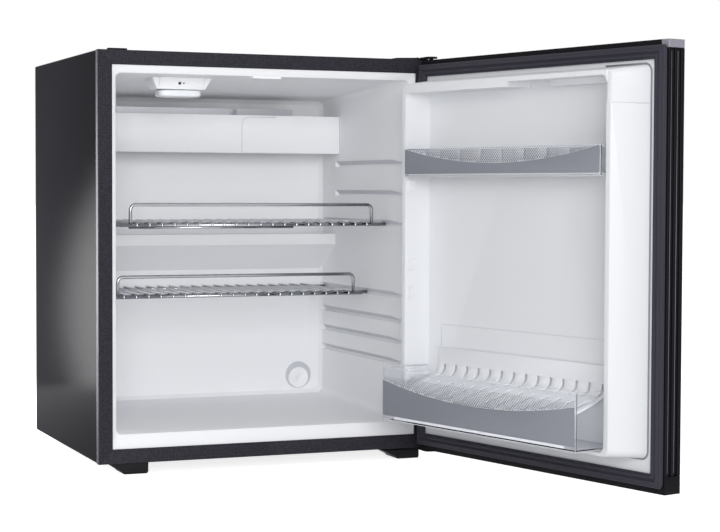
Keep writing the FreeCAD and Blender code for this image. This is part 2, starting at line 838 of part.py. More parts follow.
# Plug recess, plug hole and the two pipe holes in the back wall.
plugAcross = cavityHalf - plugInset
plugHigh = base + plugUp
sketch = newSketch(body, "XZ_Plane", cavityBack)
facetRound(sketch, plugAcross, plugHigh + recessRise, plugRecess, roundSides)
pocket(body, sketch, recessDepth)
sketch = newSketch(body, "XZ_Plane", cavityBack)
facetRound(sketch, plugAcross, plugHigh, plugSpigot + seatGap * 2, rodSides)
pipeHoles(sketch)
pocket(body, sketch, linerWall + linerWall)
placed(body)

# Foam between the case and the liner.
body = newBody("cabinet_foam")
foamFront = flangeBack + seatGap
sketch = newSketch(body, "XZ_Plane", foamFront)
foamHalf = half - stripWall - seatGap
box(sketch, -foamHalf, foamHalf, base + stripWall + seatGap, top - stripWall - seatGap)
pad(body, sketch, panelAt - seatGap - foamFront, "back")
loft(body, "SubtractiveLoft", tubSections(body, linerWall + seatGap, cavityBack + linerWall + seatGap, True))
for levels, gap in grooveSets:
    sketch = grooveProfiles(body, levels, linerWall + seatGap, throatAt - seatGap)
    cut = pocket(body, sketch, cavityBack - gap + linerWall - throatAt + seatGap * 2)
    mirrored(body, [cut])
sketch = newSketch(body, "XZ_Plane", cavityBack)
facetRound(sketch, plugAcross, plugHigh, plugSpigot + seatGap * 2, rodSides)
pocket(body, sketch, plugLength + seatGap)
sketch = newSketch(body, "XZ_Plane", cavityBack)
pipeHoles(sketch)
pocket(body, sketch, caseDepth - cavityBack)
screwHoles(body, top, screwLength, "forward")
screwHoles(body, base, screwLength, "back")
placed(body)

# Round plug that closes the spare hole in the back wall.
body = newBody("wall_plug")
sketch = newSketch(body, "XZ_Plane", cavityBack - plugProud)
facetRound(sketch, plugAcross, plugHigh, plugFace, roundSides)
pad(body, sketch, plugProud + recessDepth - seatGap, "back")
sketch = newSketch(body, "XZ_Plane", cavityBack)
facetRound(sketch, plugAcross, plugHigh, plugSpigot, rodSides)
pad(body, sketch, plugLength, "back")
placed(body)

# Ceiling light: housing that follows the ceiling, two end caps, rounded lens and sensor.
lightFront = flareAt + lightSetback
lightBack = lightFront + lightDepth
lightCentre = cavityHalf - lightInset
lightLow = ceilingAt(lightFront) - lightHeight
sensorHigh = lightLow + lightHeight / 2
sensorSpots = [(-lightCentre - sensorOffset, sensorBore), (-lightCentre + sensorOffset, sensorBore / 2)]


def lightSection(sketch):
    polygon(sketch, [(lightFront, ceilingAt(lightFront) - seatGap), (lightFront + lightSlant, lightLow),
                     (lightBack, lightLow), (lightBack, ceilingAt(lightBack) - seatGap)])


body = newBody("light_housing")
sketch = newSketch(body, "YZ_Plane", -lightCentre)
lightSection(sketch)
pad(body, sketch, lightLength - (lightCap + seatGap) * 2, "both")
sketch = newSketch(body, "XZ_Plane", lightFront)
for x, across in sensorSpots:
    facetRound(sketch, x, sensorHigh, across + seatGap, rodSides)
pocket(body, sketch, lightSlant + sensorDepth)
placed(body)

caps = []
for way in (-1, 1):
    body = newBody("light_cap")
    outer = lightLength / 2 * way - lightCentre
    sketch = newSketch(body, "YZ_Plane", outer)
    lightSection(sketch)
    pad(body, sketch, lightCap, "back" if way == 1 else "forward")
    sketch = newSketch(body, "XZ_Plane", lightBack)
    polygon(sketch, [(outer, ceilingAt(lightFront)), (outer, lightLow), (outer - lightTaper * way, lightLow)])
    pocket(body, sketch, lightDepth, "back")
    caps.append(body)
placed(gathered("Part::Compound", "light_end_caps", caps))

sensorBack = lightFront + lightSlant + sensorDepth - seatGap
sensors = [rod(-axisY, x, sensorBack, sensorHigh, lightSlant / 2 + sensorDepth, across - seatGap, rodSides)
           for x, across in sensorSpots]
placed(gathered("Part::Compound", "light_sensors", sensors))

body = newBody("light_lens")
lensLow = lightLow - seatGap - lensHeight
sketch = newSketch(body, "XY_Plane", lensLow)
lensFront = lightFront + lightSlant
lensLeft = -lightCentre - lensLength / 2
roundBox(sketch, lensLeft, lensLeft + lensLength, lensFront, lensFront + lensDepth, lensRound)
pad(body, sketch, lensHeight)
placed(body)

# Evaporator: an aluminium base on the back wall, upright fins and a parted front plate, behind a cover.
body = newBody("evaporator_fins")
finBack = cavityBack - seatGap
finBaseAt = finBack - finBase
finHalf = cavityHalf - finSideGap
finEdge = finHalf + finSheet
finFoot = top - finDrop
sketch = newSketch(body, "XZ_Plane", finBaseAt)
box(sketch, -finEdge, finEdge, finFoot, finFoot + finHeight)
pad(body, sketch, finBase, "back")
sketch = newSketch(body, "XZ_Plane", finBaseAt)
box(sketch, -finEdge, -finHalf, finFoot, finFoot + finHeight)
fin = pad(body, sketch, finReach)
row(body, [fin], evaporatorFinCount, finHalf * 2 + finSheet)
sketch = newSketch(body, "XZ_Plane", finBaseAt - finReach)
box(sketch, -finEdge, finSplitAt - finSplitGap / 2, finFoot, finFoot + finHeight)
box(sketch, finSplitAt + finSplitGap / 2, finEdge, finFoot, finFoot + finHeight)
pad(body, sketch, finSheet)
placed(body)

body = newBody("evaporator_cover")
coverAt = cavityBack - coverSetback
coverHalf = cavityHalf - seatGap
coverBase = top - coverDrop
coverTop = coverBase + coverHeight
sketch = newSketch(body, "XZ_Plane", coverAt)
box(sketch, -coverHalf, coverHalf, coverBase, coverTop)
pad(body, sketch, coverSheet, "back")
sketch = newSketch(body, "XZ_Plane", coverAt)
box(sketch, coverHalf - coverSheet, coverHalf, coverBase, coverTop)
flange = pad(body, sketch, coverReturn, "back")
sketch = newSketch(body, "YZ_Plane", coverHalf - coverSheet)
for rise in (clipLength, coverHeight - clipLength - clipLength):
    box(sketch, coverAt + coverSheet + coverSheet, coverAt + coverSheet + clipLength,
        coverBase + rise, coverBase + rise + clipLength)
slot = pocket(body, sketch, coverSheet, "back")
mirrored(body, [flange, slot])
sketch = newSketch(body, "XZ_Plane", coverAt)
box(sketch, -coverHalf, coverHalf, coverBase, coverBase + coverSheet)
pad(body, sketch, coverFoot, "back")
placed(body)


# Feet: blocks with a ramp on their left.
def foot(label, left, front, drop):
    body = newBody(label)
    right = left + footLength
    high = base - drop
    sketch = newSketch(body, "XZ_Plane", front)
    polygon(sketch, [(left, high), (left + footRamp, footBevel), (left + footRamp + footBevel, None),
                     (right - footBevel, None), (right, footBevel), (right, high)])
    feature = pad(body, sketch, footDepth, "back")
    dressed(body, "Fillet", feature, footCorner, lambda run, mid, edge: along(run, axisZ))
    placed(body)


plateGap = bracketSheet + seatGap * 2
rearFootAt = caseDepth - footRearGap - footDepth
footLeft = -half + footInset
footRight = half - footRightInset - footLength
foot("front_left_foot", footLeft, footFront, seatGap)
foot("front_right_foot", footRight, footFront, plateGap)
foot("rear_left_foot", footLeft, rearFootAt, seatGap)
foot("rear_right_foot", footRight, rearFootAt, seatGap)


# Hinge brackets: a plate on the case, an arm out to the hinge axis and a riveted pin.
def bracket(label, plateLow, pinLow, pinLength):
    body = newBody(label)
    sketch = newSketch(body, "XY_Plane", plateLow)
    arm = [(hingeX - bracketHalf, hingeY), (hingeX + bracketHalf, hingeY), (hingeX + bracketHalf, -seatGap),
           (bracketRight, bracketNeck), (bracketRight, bracketBack), (bracketLeft, bracketBack),
           (bracketLeft, bracketNeck), (hingeX - bracketHalf, -seatGap)]
    polygon(sketch, arm)
    pad(body, sketch, bracketSheet)
    sketch = newSketch(body, "XY_Plane", plateLow)
    disc(sketch, hingeX, hingeY, bracketHalf * 2)
    pad(body, sketch, bracketSheet)
    screwHoles(body, plateLow + bracketSheet, bracketSheet, "forward")
    sketch = newSketch(body, "XY_Plane", pinLow)
    disc(sketch, hingeX, hingeY, hingePin)
    pad(body, sketch, pinLength)
    placed(body)


upperPlate = top + seatGap
lowerPlate = base - seatGap - bracketSheet
pinTip = doorHigh - trimWidth
bracket("upper_hinge_bracket", upperPlate, pinTip, upperPlate + bracketSheet - pinTip)
bracket("lower_hinge_bracket", lowerPlate, lowerPlate, doorLow + trimWidth - lowerPlate)

screws = []
upperSeat = upperPlate + bracketSheet + seatGap
lowerSeat = lowerPlate - seatGap
for headLow, shankLow in ((upperSeat, upperSeat - screwLength), (lowerSeat - screwRise, lowerSeat)):
    for x, y in screwSpots:
        head = rod(axisZ, x, y, headLow, screwRise, screwHead, rodSides)
        shank = rod(axisZ, x, y, shankLow, screwLength, screwShank, rodSides)
        screws.append(gathered("Part::MultiFuse", "screw", [head, shank]))
placed(gathered("Part::Compound", "hinge_screws", screws))

# Cap over the spare hinge holes at the other front corner.
body = newBody("hinge_hole_cap")
sketch = newSketch(body, "XY_Plane", top + seatGap)
capLeft = -half + capInset
roundBox(sketch, capLeft, capLeft + capAcross, stripPlate, stripPlate + capDepth, capRound)
pad(body, sketch, capHeight)
placed(body)

# Door, drawn shut: outer panel, trims, free edge profile with its two caps.
body = newBody("door_panel")
sketch = newSketch(body, "XZ_Plane", panelFace)
box(sketch, edgeInner + seatGap, half, doorLow, doorHigh)
pad(body, sketch, panelSheet, "back")
placed(body, True)

trimDeep = trimFace - trimBack
bushAcross = hingePin + pinFit + bushWall * 2


def doorTrim(label, left, right, low, high, bushed):
    body = newBody(label)
    sketch = newSketch(body, "XZ_Plane", trimBack)
    box(sketch, left, right, low, high)
    pad(body, sketch, trimDeep, "back")
    if bushed:
        sketch = newSketch(body, "XY_Plane", high)
        disc(sketch, hingeX, hingeY, bushAcross + seatGap)
        pocket(body, sketch, high - low)
    placed(body, True)


doorTrim("door_trim_top", edgeInner + seatGap, half, doorHigh - trimWidth, doorHigh, True)
doorTrim("door_trim_bottom", edgeInner + seatGap, half, doorLow, doorLow + trimWidth, True)
trimLow = doorLow + trimWidth + seatGap
trimHigh = doorHigh - trimWidth - seatGap
doorTrim("door_trim_hinge", half - trimWidth, half, trimLow, trimHigh, False)

body = newBody("door_edge_profile")
profileLow = doorLow + edgeCapLow + seatGap
sketch = newSketch(body, "XY_Plane", profileLow)
grooveBack = trimFace - edgeGrooveInset
grooveFloor = doorLeft + edgeGroove
spots = [(doorLeft, panelFace), (edgeInner, panelFace), (edgeInner, trimFace), (doorLeft, trimFace)]
for step in (0, 1):
    high = grooveBack - edgeGrooveStep * step
    low = high - edgeGrooveWide
    spots += [(doorLeft, high), (grooveFloor, high), (grooveFloor, low), (doorLeft, low)]
polygon(sketch, spots)
pad(body, sketch, doorHigh - edgeCapHigh - seatGap - profileLow)
placed(body, True)


def edgeCap(label, low, length):
    body = newBody(label)
    sketch = newSketch(body, "XY_Plane", low)
    roundBox(sketch, doorLeft, edgeInner, panelFace, trimFace, edgeRound)
    pad(body, sketch, length)
    placed(body, True)


edgeCap("edge_cap_top", doorHigh - edgeCapHigh, edgeCapHigh)
edgeCap("edge_cap_bottom", doorLow, edgeCapLow)


# Door liner: a flange under the gasket, a hollow ring of dykes with sloping outer walls and a well between;
# the top dyke is cut back to a lip on the free side, where the ceiling light comes when the door is shut.
crestFace = dykeHeight
dykeTop = top - dykeTopDrop
dykeLow = base + dykeBottom
dykeHighBase = dykeTop + dykeHead
dykeLowBase = dykeLow - dykeFoot
wellLow = dykeLow + dykeBottomWidth
wellHigh = dykeTop - dykeTopWidth
wellCrest = dykeTop - dykeLip


def dykeSections(body, outline, wall, start, end):
    sketchLow = newSketch(body, "XZ_Plane", start)
    outline(sketchLow, -dykeBase + wall, dykeBase - wall, dykeLowBase + wall, dykeHighBase - wall, dykeRound)
    sketchHigh = newSketch(body, "XZ_Plane", end)
    outline(sketchHigh, -dykeCrest + wall, dykeCrest - wall, dykeLow + wall, dykeTop - wall, dykeRound)
    return [sketchLow, sketchHigh]


def clipBox(sketch, left, right, low, high, cut):
    # Box with its corners cut off at 45 degrees.
    polygon(sketch, [(left + cut, low), (right - cut, low), (right, low + cut), (right, high - cut),
                     (right - cut, high), (left + cut, high), (left, high - cut), (left, low + cut)])


def wellOutline(sketch, wall):
    wide = wellHalf + wall
    notch = wall - reliefAt
    low, high, crest = wellLow - wall, wellHigh + wall, wellCrest + wall
    polygon(sketch, [(-wide, low), (wide, low), (wide, high), (notch, high), (notch, crest), (-wide, crest)])


body = newBody("door_liner")
flangeSide = gasketSide - flangeInset
sketch = newSketch(body, "XZ_Plane", flangeUnder)
roundBox(sketch, -flangeSide, flangeSide, gasketBottom + flangeInset, gasketTop - flangeInset, flangeRound)
pad(body, sketch, linerWall, "back")
loft(body, "AdditiveLoft", dykeSections(body, roundBox, noWall, flangeUnder, crestFace))
loft(body, "SubtractiveLoft", dykeSections(body, clipBox, linerWall, flangeUnder, crestFace - linerWall))
sketch = newSketch(body, "XZ_Plane", panelLevel - linerWall)
wellOutline(sketch, linerWall)
pad(body, sketch, crestFace - panelLevel + linerWall, "back")
sketch = newSketch(body, "XZ_Plane", crestFace)
wellOutline(sketch, noWall)
well = pocket(body, sketch, crestFace - panelLevel, "back")
corners = (wellLow, wellHigh, wellCrest)
dressed(body, "Fillet", well, wellRound,
        lambda run, mid, edge: along(run, axisY) and mid.y > panelLevel.value
        and near(abs(mid.x), wellHalf) and any(near(mid.z, corner) for corner in corners))
# Low pad under the lip, and the shallow step across the crest of the free side.
sketch = newSketch(body, "XZ_Plane", panelLevel)
box(sketch, -wellHalf - seatGap, -reliefPadAt, wellCrest - reliefPadTall, wellCrest + seatGap)
pad(body, sketch, reliefPadDeep, "back")
sketch = newSketch(body, "XZ_Plane", crestFace)
box(sketch, -dykeBase, -wellHalf + seatGap, top - dykeStepDrop, dykeHighBase)
pocket(body, sketch, dykeStep, "back")
# Lugs on the inner walls of the dykes carry the racks; each rack position has an upper and a lower pair.
lugAt = crestFace - lugSetback - lugWide
upperLow = top - upperRackDrop
lowerLow = base + lowerRackLow
upperLug = upperLow + upperRackTall - ribTall - seatGap
lowerLug = lowerLow + lowerRackTall - ribTall - seatGap
lugPitch = size("lugPitch", 39.5)
spareLug = size("spareLug", 153.0)
lugTops = [upperLug, upperLug - lugPitch, upperLug - spareLug, upperLug - spareLug - lugPitch, lowerLug]
sketch = newSketch(body, "XZ_Plane", lugAt)
for high in lugTops:
    box(sketch, wellHalf - lugReach, wellHalf + seatGap, high - lugTall, high)
lugs = pad(body, sketch, lugWide, "back")
mirrored(body, [lugs])
placed(body, True)

# Foam that fills the door and the hollow dykes.
body = newBody("door_foam")
sketch = newSketch(body, "XZ_Plane", trimBack)
box(sketch, edgeInner + seatGap, half - trimWidth - seatGap, trimLow, trimHigh)
pad(body, sketch, trimDeep, "back")
skin = linerWall + seatGap
loft(body, "AdditiveLoft", dykeSections(body, clipBox, skin, trimFace - seatGap, crestFace - skin))
sketch = newSketch(body, "XZ_Plane", crestFace)
wellOutline(sketch, skin)
pocket(body, sketch, crestFace - panelLevel + skin, "back")
placed(body, True)

# Gasket: a flat base ring with two ridges that meet the front frame.
body = newBody("door_gasket")


def gasketRing(at, outer, width, length):
    sketch = newSketch(body, "XZ_Plane", at)
    inner = outer + width
    box(sketch, -gasketSide + outer, gasketSide - outer, gasketBottom + outer, gasketTop - outer)
    box(sketch, -gasketSide + inner, gasketSide - inner, gasketBottom + inner, gasketTop - inner)
    return pad(body, sketch, length, "back")


gasketRing(flangeFace + seatGap / 2, noWall, gasketWidth, gasketBase)
for step in (1, 2):
    outer = gasketInner + gasketPitch * step - gasketPitch + gasketRidge / 2
    gasketRing(flangeFace + gasketBase, outer, gasketRidge, gasketThick - gasketBase)
placed(body, True)


# Hinge bushes: sleeves in the top and bottom trims; the lower one stands proud and carries the door.
def bush(label, low):
    body = newBody(label)
    sketch = newSketch(body, "XY_Plane", low)
    disc(sketch, hingeX, hingeY, bushAcross)
    disc(sketch, hingeX, hingeY, hingePin + pinFit)
    pad(body, sketch, trimWidth + doorGapLow)
    placed(body, True)


bush("upper_hinge_bush", doorHigh - trimWidth)
bush("lower_hinge_bush", doorLow - doorGapLow)


# Racks: a clear guard that hangs on the lugs by its ribs, a grey band on its front and a white tray inside.
def rackGuard(label, low, tall, front):
    body = newBody(label)
    inner = rackHalf - rackWall
    sketch = newSketch(body, "XY_Plane", low)
    inside = front - rackWall
    polygon(sketch, [(-rackHalf, rackBackAt), (-rackHalf, front), (rackHalf, front), (rackHalf, rackBackAt),
                     (inner, rackBackAt), (inner, inside), (-inner, inside), (-inner, rackBackAt)])
    pad(body, sketch, tall)
    sketch = newSketch(body, "XY_Plane", low)
    box(sketch, -rackHalf, rackHalf, rackBackAt, front)
    pad(body, sketch, rackWall)
    sketch = newSketch(body, "YZ_Plane", rackHalf)
    ribHigh = low + tall
    ribFront = lugAt + lugWide / 2 - ribWide / 2
    box(sketch, ribFront, ribFront + ribWide, ribHigh - ribTall, ribHigh)
    rib = pad(body, sketch, lugReach)
    mirrored(body, [rib])
    placed(body, True)


def rackBand(label, low, end, sag, front):
    body = newBody(label)
    wide = rackHalf - bandSheet
    high = low + end
    sketch = newSketch(body, "XZ_Plane", front + bandGap)
    corners = [(-wide, high), (-wide, low), (wide, low), (wide, high)]
    lines = [Part.LineSegment(point(corners[i]), point(corners[i + 1])) for i in range(3)]
    sketch.addGeometry(lines)
    sketch.addGeometry(Part.Arc(point(corners[0]), vec(0, high.value - sag.value, 0), point(corners[3])))
    joins = [(0, 2, 1, 1), (1, 2, 2, 1), (2, 2, 3, 2), (3, 1, 0, 1)]
    sketch.addConstraint([Sketcher.Constraint("Coincident", *join) for join in joins])
    ends = [(0, 1), (1, 1), (2, 1), (2, 2)]
    ties = [item for end, corner in zip(ends, corners) for item in pinned(*end, corner)]
    tie(sketch, ties + [("Radius", 3, 0, (wide * wide + sag * sag) / (sag * 2))])
    pad(body, sketch, bandSheet, "back")
    placed(body, True)


rackGuard("upper_rack_guard", upperLow, upperRackTall, upperRackFront)
rackBand("upper_rack_band", upperLow + upperBandLow, upperBandEnd, upperBandSag, upperRackFront)
rackGuard("lower_rack_guard", lowerLow, lowerRackTall, lowerRackFront)
rackBand("lower_rack_band", lowerLow + lowerBandLow, lowerBandEnd, lowerBandSag, lowerRackFront)

# Upper tray: an angle with a row of windows through its back.
trayFace = panelLevel + trayBack + trayWall
body = newBody("upper_rack_tray")
upperTrayHalf = rackHalf - rackWall - upperTrayInset
upperFloor = upperLow + rackWall + seatGap
upperTrayFront = upperRackFront - rackWall - slideGap
upperTrayTop = upperLow + upperRackTall
sketch = newSketch(body, "YZ_Plane")
trayInside = rackBackAt + trayWall
polygon(sketch, [(rackBackAt, upperFloor), (upperTrayFront, upperFloor),
                 (upperTrayFront, upperFloor + trayWall), (trayInside, upperFloor + trayWall),
                 (trayInside, upperTrayTop), (rackBackAt, upperTrayTop)])
pad(body, sketch, upperTrayHalf * 2, "both")
sketch = newSketch(body, "XZ_Plane", rackBackAt)
slotFirst = upperSlotMargin - upperTrayHalf
slotHigh = upperTrayTop - upperSlotDrop
box(sketch, slotFirst - upperSlotWide / 2, slotFirst + upperSlotWide / 2, slotHigh - upperSlotTall, slotHigh)
slot = pocket(body, sketch, trayWall)
row(body, [slot], upperSlotCount, -slotFirst * 2)
placed(body, True)

# Lower tray: a back plate that bends into a falling floor, with slots at the bend and along the floor.
body = newBody("lower_rack_tray")
lowerTrayHalf = rackHalf - lowerTrayInset
lowerFloor = lowerLow + rackWall + seatGap
lowerTrayFront = lowerRackFront - rackWall - slideGap
trayHigh = lowerLow + lowerTrayTall
kneeHigh = lowerLow + lowerTrayKnee
rimHigh = kneeHigh - lowerTrayFall
plateAt = panelLevel + trayBack
sketch = newSketch(body, "YZ_Plane")
rimBack = lowerTrayFront - trayWall
polygon(sketch, [(plateAt, trayHigh), (plateAt, kneeHigh - trayWall), (rimBack, rimHigh - trayWall),
                 (rimBack, lowerFloor), (lowerTrayFront, lowerFloor), (lowerTrayFront, rimHigh),
                 (trayFace, kneeHigh), (trayFace, trayHigh)])
feature = pad(body, sketch, lowerTrayHalf * 2, "both")
dressed(body, "Fillet", feature, lowerTrayBend,
        lambda run, mid, edge: along(run, axisX) and near(mid.y, trayFace) and near(mid.z, kneeHigh))
slotFirst = lowerSlotMargin - lowerTrayHalf
slotLow = kneeHigh - lowerSlotRise
slotHigh = kneeHigh + lowerSlotRise
sketch = newSketch(body, "YZ_Plane", slotFirst)
polygon(sketch, [(plateAt - seatGap, slotHigh), (trayFace + lowerTrayBend, slotHigh),
                 (trayFace + lowerSlotRun, slotLow), (plateAt - seatGap, slotLow)])
slot = pocket(body, sketch, lowerSlotWide, "both")
fall = lowerTrayFall / (lowerTrayFront - trayFace)
fluteHigh = kneeHigh - fall * lowerFluteStart
fluteLow = rimHigh + fall * lowerFluteEnd
fluteBack = trayFace + lowerFluteStart
fluteFront = lowerTrayFront - lowerFluteEnd
sketch = newSketch(body, "YZ_Plane", slotFirst)
polygon(sketch, [(fluteBack, fluteHigh - lowerFluteDeep), (fluteFront, fluteLow - lowerFluteDeep),
                 (fluteFront, fluteLow + lowerSlotRise), (fluteBack, fluteHigh + lowerSlotRise)])
flute = pocket(body, sketch, lowerFluteWide, "both")
row(body, [slot, flute], lowerSlotCount, -slotFirst * 2)
placed(body, True)


# Wire shelves: a front bar, two carrier bars whose tips run in the liner's grooves, deck wires laid over them
# and a guard loop in front; the upper one has a short brace under its front bar.
shelfHalf = cavityHalf - shelfSideGap
shelfDepth = cavityBack - lowerShelfAt - shelfRearGap
deckHalf = shelfHalf - deckMargin
guardHalf = shelfHalf - guardInset
frontHalf = shelfHalf + frontTip


def shelf(name, level, front, braced):
    barHigh = base + level + slideGap + barWire / 2
    tip = cavityHalf + shelfTip
    reaches = [(front, frontHalf), (front + carrierBack, tip), (front + shelfDepth, tip)]
    rods = [rod(axisX, -reach, y, barHigh, reach * 2, barWire, rodSides) for y, reach in reaches]
    rods += [rod(axisY, x, front, barHigh, shelfDepth, sideWire, rodSides) for x in (-shelfHalf, shelfHalf)]
    if braced:
        rods.append(rod(axisX, -shelfHalf, front + braceBack, barHigh - braceDrop, shelfHalf + braceReach,
                        braceWire, rodSides))
    placed(gathered("Part::MultiFuse", name + "_frame", rods))

    wireHigh = barHigh + barWire / 2 + weldGap + deckWire / 2
    wires = []
    length = shelfDepth + deckOverhang * 2
    for i in range(deckCount):
        x = deckHalf * (2 * i / (deckCount - 1) - 1)
        wires.append(rod(axisY, x, front - deckOverhang, wireHigh, length, deckWire, wireSides))
    placed(gathered("Part::Compound", name + "_wires", wires))

    body = newBody(name + "_guard")
    guardLow = barHigh + barWire / 2 + weldGap
    guardHigh = barHigh + guardRise
    path = newSketch(body, "XZ_Plane", front)
    bentPath(path, [(-guardHalf, guardLow), (-guardHalf, guardHigh),
                    (guardHalf, guardHigh), (guardHalf, guardLow)], guardBend)
    section = newSketch(body, "XY_Plane", guardLow)
    facetRound(section, -guardHalf, front, barWire, guardSides)
    pipe(body, path, section)
    placed(body)


shelf("upper_shelf", upperShelfUp, upperShelfAt, True)
shelf("lower_shelf", lowerShelfUp, lowerShelfAt, False)

# Cooling unit: rails on the rear panel carry the pipework.
rails = []
railBack = caseDepth + seatGap
railFront = railBack + railDeep
railInside = railFront - railSheet
for low in (base + railLowUp, top - railHighDrop):
    body = newBody("rail")
    high = low + railTall
    sketch = newSketch(body, "YZ_Plane")
    polygon(sketch, [(railBack, low), (railFront, low), (railFront, high), (railBack, high),
                     (railBack, high - railSheet), (railInside, high - railSheet),
                     (railInside, low + railSheet), (railBack, low + railSheet)])
    pad(body, sketch, (half - railInset) * 2, "both")
    rails.append(body)
placed(gathered("Part::Compound", "unit_rails", rails))

# Boiler in its round insulated casing.
body = newBody("boiler_casing")
sketch = newSketch(body, "XY_Plane", base + boilerLow)
facetRound(sketch, boilerAcross, unitY, boilerBore, roundSides)
boilerTall = caseHeight - boilerLow - boilerDrop
feature = pad(body, sketch, boilerTall)
dressed(body, "Chamfer", feature, boilerRound, lambda run, mid, edge: not along(run, axisZ))
placed(body)


def stub(body, across, up):
    # Straight run from the upright pipe through the back wall to the evaporator.
    sketch = newSketch(body, "XZ_Plane", unitY)
    facetRound(sketch, across, up, pipeBore, pipeSides)
    pad(body, sketch, unitY - cavityBack)


# Condenser: up from the boiler, across the back and down to the evaporator.
body = newBody("condenser_tube")
condenserLow = base + boilerLow + boilerTall + seatGap
condenserHigh = top - condenserDrop
path = newSketch(body, "XZ_Plane", unitY)
bentPath(path, [(boilerAcross, condenserLow), (boilerAcross, condenserHigh), (-condenserReach, condenserHigh),
                (-condenserReach, entryHigh)], pipeBend)
section = newSketch(body, "XY_Plane", condenserLow)
facetRound(section, boilerAcross, unitY, pipeBore, pipeSides)
pipe(body, path, section)
stub(body, -condenserReach, entryHigh)
placed(body)

fins = []
for i in range(condenserFinCount):
    body = newBody("condenser_fin")
    x = (half - condenserFinInset) * (2 * i / (condenserFinCount - 1) - 1)
    sketch = newSketch(body, "YZ_Plane", x)
    box(sketch, unitY - condenserFin / 2, unitY + condenserFin / 2,
        condenserHigh - condenserFin / 2, condenserHigh + condenserFin / 2)
    facetRound(sketch, unitY, condenserHigh, pipeBore + seatGap * 2, pipeSides)
    pad(body, sketch, condenserFinSheet)
    fins.append(body)
placed(gathered("Part::Compound", "condenser_fins", fins))

# Absorber vessel: a lying drum with its end plates set in.
body = newBody("absorber_vessel")
vesselEdge = vesselBore / 2
vesselHigh = base + vesselUp
vesselLeft = vesselLeftInset - half
vesselRight = half - vesselRightInset
sketch = newSketch(body, "YZ_Plane", vesselLeft)
facetRound(sketch, unitY, vesselHigh, vesselBore, roundSides)
pad(body, sketch, vesselRight - vesselLeft)
for end, way in ((vesselRight, "forward"), (vesselLeft, "back")):
    sketch = newSketch(body, "YZ_Plane", end)
    facetRound(sketch, unitY, vesselHigh, vesselBore - vesselRim * 2, roundSides)
    pocket(body, sketch, vesselDish, way)
placed(body)
vesselTop = base + vesselUp + vesselEdge + slideGap

# Absorber coil: level runs that climb from the vessel and end at the return pipe.
body = newBody("absorber_coil")
path = newSketch(body, "XZ_Plane", unitY)
coilLeft = half - coilLeftInset
coilRight = half - coilRightInset
spots = [(-coilLeft, vesselTop)]
coilEnd = pipeBore / 2 + slideGap - returnAcross
for run in range(coilRuns):
    level = base + coilUp + coilPitch * run
    left = coilEnd if run == coilRuns - 1 else -coilLeft
    spots += [(left, level), (coilRight, level)] if run % 2 == 0 else [(coilRight, level), (left, level)]
bentPath(path, spots, pipeBend)
section = newSketch(body, "XY_Plane", vesselTop)
facetRound(section, -coilLeft, unitY, pipeBore, pipeSides)
pipe(body, path, section)
placed(body)

# Return pipe from the evaporator down to the vessel.
body = newBody("return_pipe")
sketch = newSketch(body, "XY_Plane", vesselTop)
facetRound(sketch, -returnAcross, unitY, pipeBore, pipeSides)
pad(body, sketch, returnHigh - vesselTop + pipeBore / 2)
stub(body, -returnAcross, returnHigh)
placed(body)

# Terminal box with the gland where the supply lead would enter.
body = newBody("terminal_box")
boxAcross = half - boxInset
boxLow = base + boxUp
boxBack = caseDepth + seatGap
sketch = newSketch(body, "XZ_Plane", boxBack)
box(sketch, boxAcross, boxAcross + boxWide, boxLow, boxLow + boxTall)
feature = pad(body, sketch, boxDeep, "back")
dressed(body, "Chamfer", feature, boxRound, lambda run, mid, edge: near(mid.y, boxBack + boxDeep))
glandX = boxAcross + boxWide / 2
glandY = boxBack + boxDeep / 2
sketch = newSketch(body, "XY_Plane", boxLow)
facetRound(sketch, glandX, glandY, glandThread + seatGap * 2, rodSides)
pocket(body, sketch, glandLong, "back")
placed(body)

body = newBody("cable_gland")
glandLow = boxLow - seatGap - glandLong
sketch = newSketch(body, "XY_Plane", glandLow)
facetRound(sketch, glandX, glandY, glandNut, rodSides)
pad(body, sketch, glandLong)
sketch = newSketch(body, "XY_Plane", boxLow - seatGap)
facetRound(sketch, glandX, glandY, glandThread, rodSides)
pad(body, sketch, glandLong / 2)
sketch = newSketch(body, "XY_Plane", boxLow + glandLong)
facetRound(sketch, glandX, glandY, glandBore, rodSides)
pocket(body, sketch, glandLong * 2 + seatGap)
placed(body)

doc.recompute()

# Everything must have solved, every cut must have removed something and every piece must be sound.
for item in doc.Objects:
    if "Invalid" in item.State or "Error" in item.State:
        raise RuntimeError("%s (%s) did not solve: %s" % (item.Name, item.TypeId, item.getStatusString()))
    if item.TypeId in ("PartDesign::Pocket", "PartDesign::SubtractiveLoft"):
        if item.BaseFeature.Shape.Volume - item.Shape.Volume < 1e-3:
            raise RuntimeError("%s cuts nothing" % item.Name)
for item in nodes:
    if item.Shape.isNull() or not item.Shape.isValid():
        raise RuntimeError("%s has no sound shape" % item.Label)
    if not item.Shape.Solids:
        raise RuntimeError("%s has no solid" % item.Label)

os.makedirs("parts", exist_ok=True)
for item in nodes:
    item.Shape.exportStep("parts/%s.step" % item.Label)
print("%d pieces" % len(nodes))
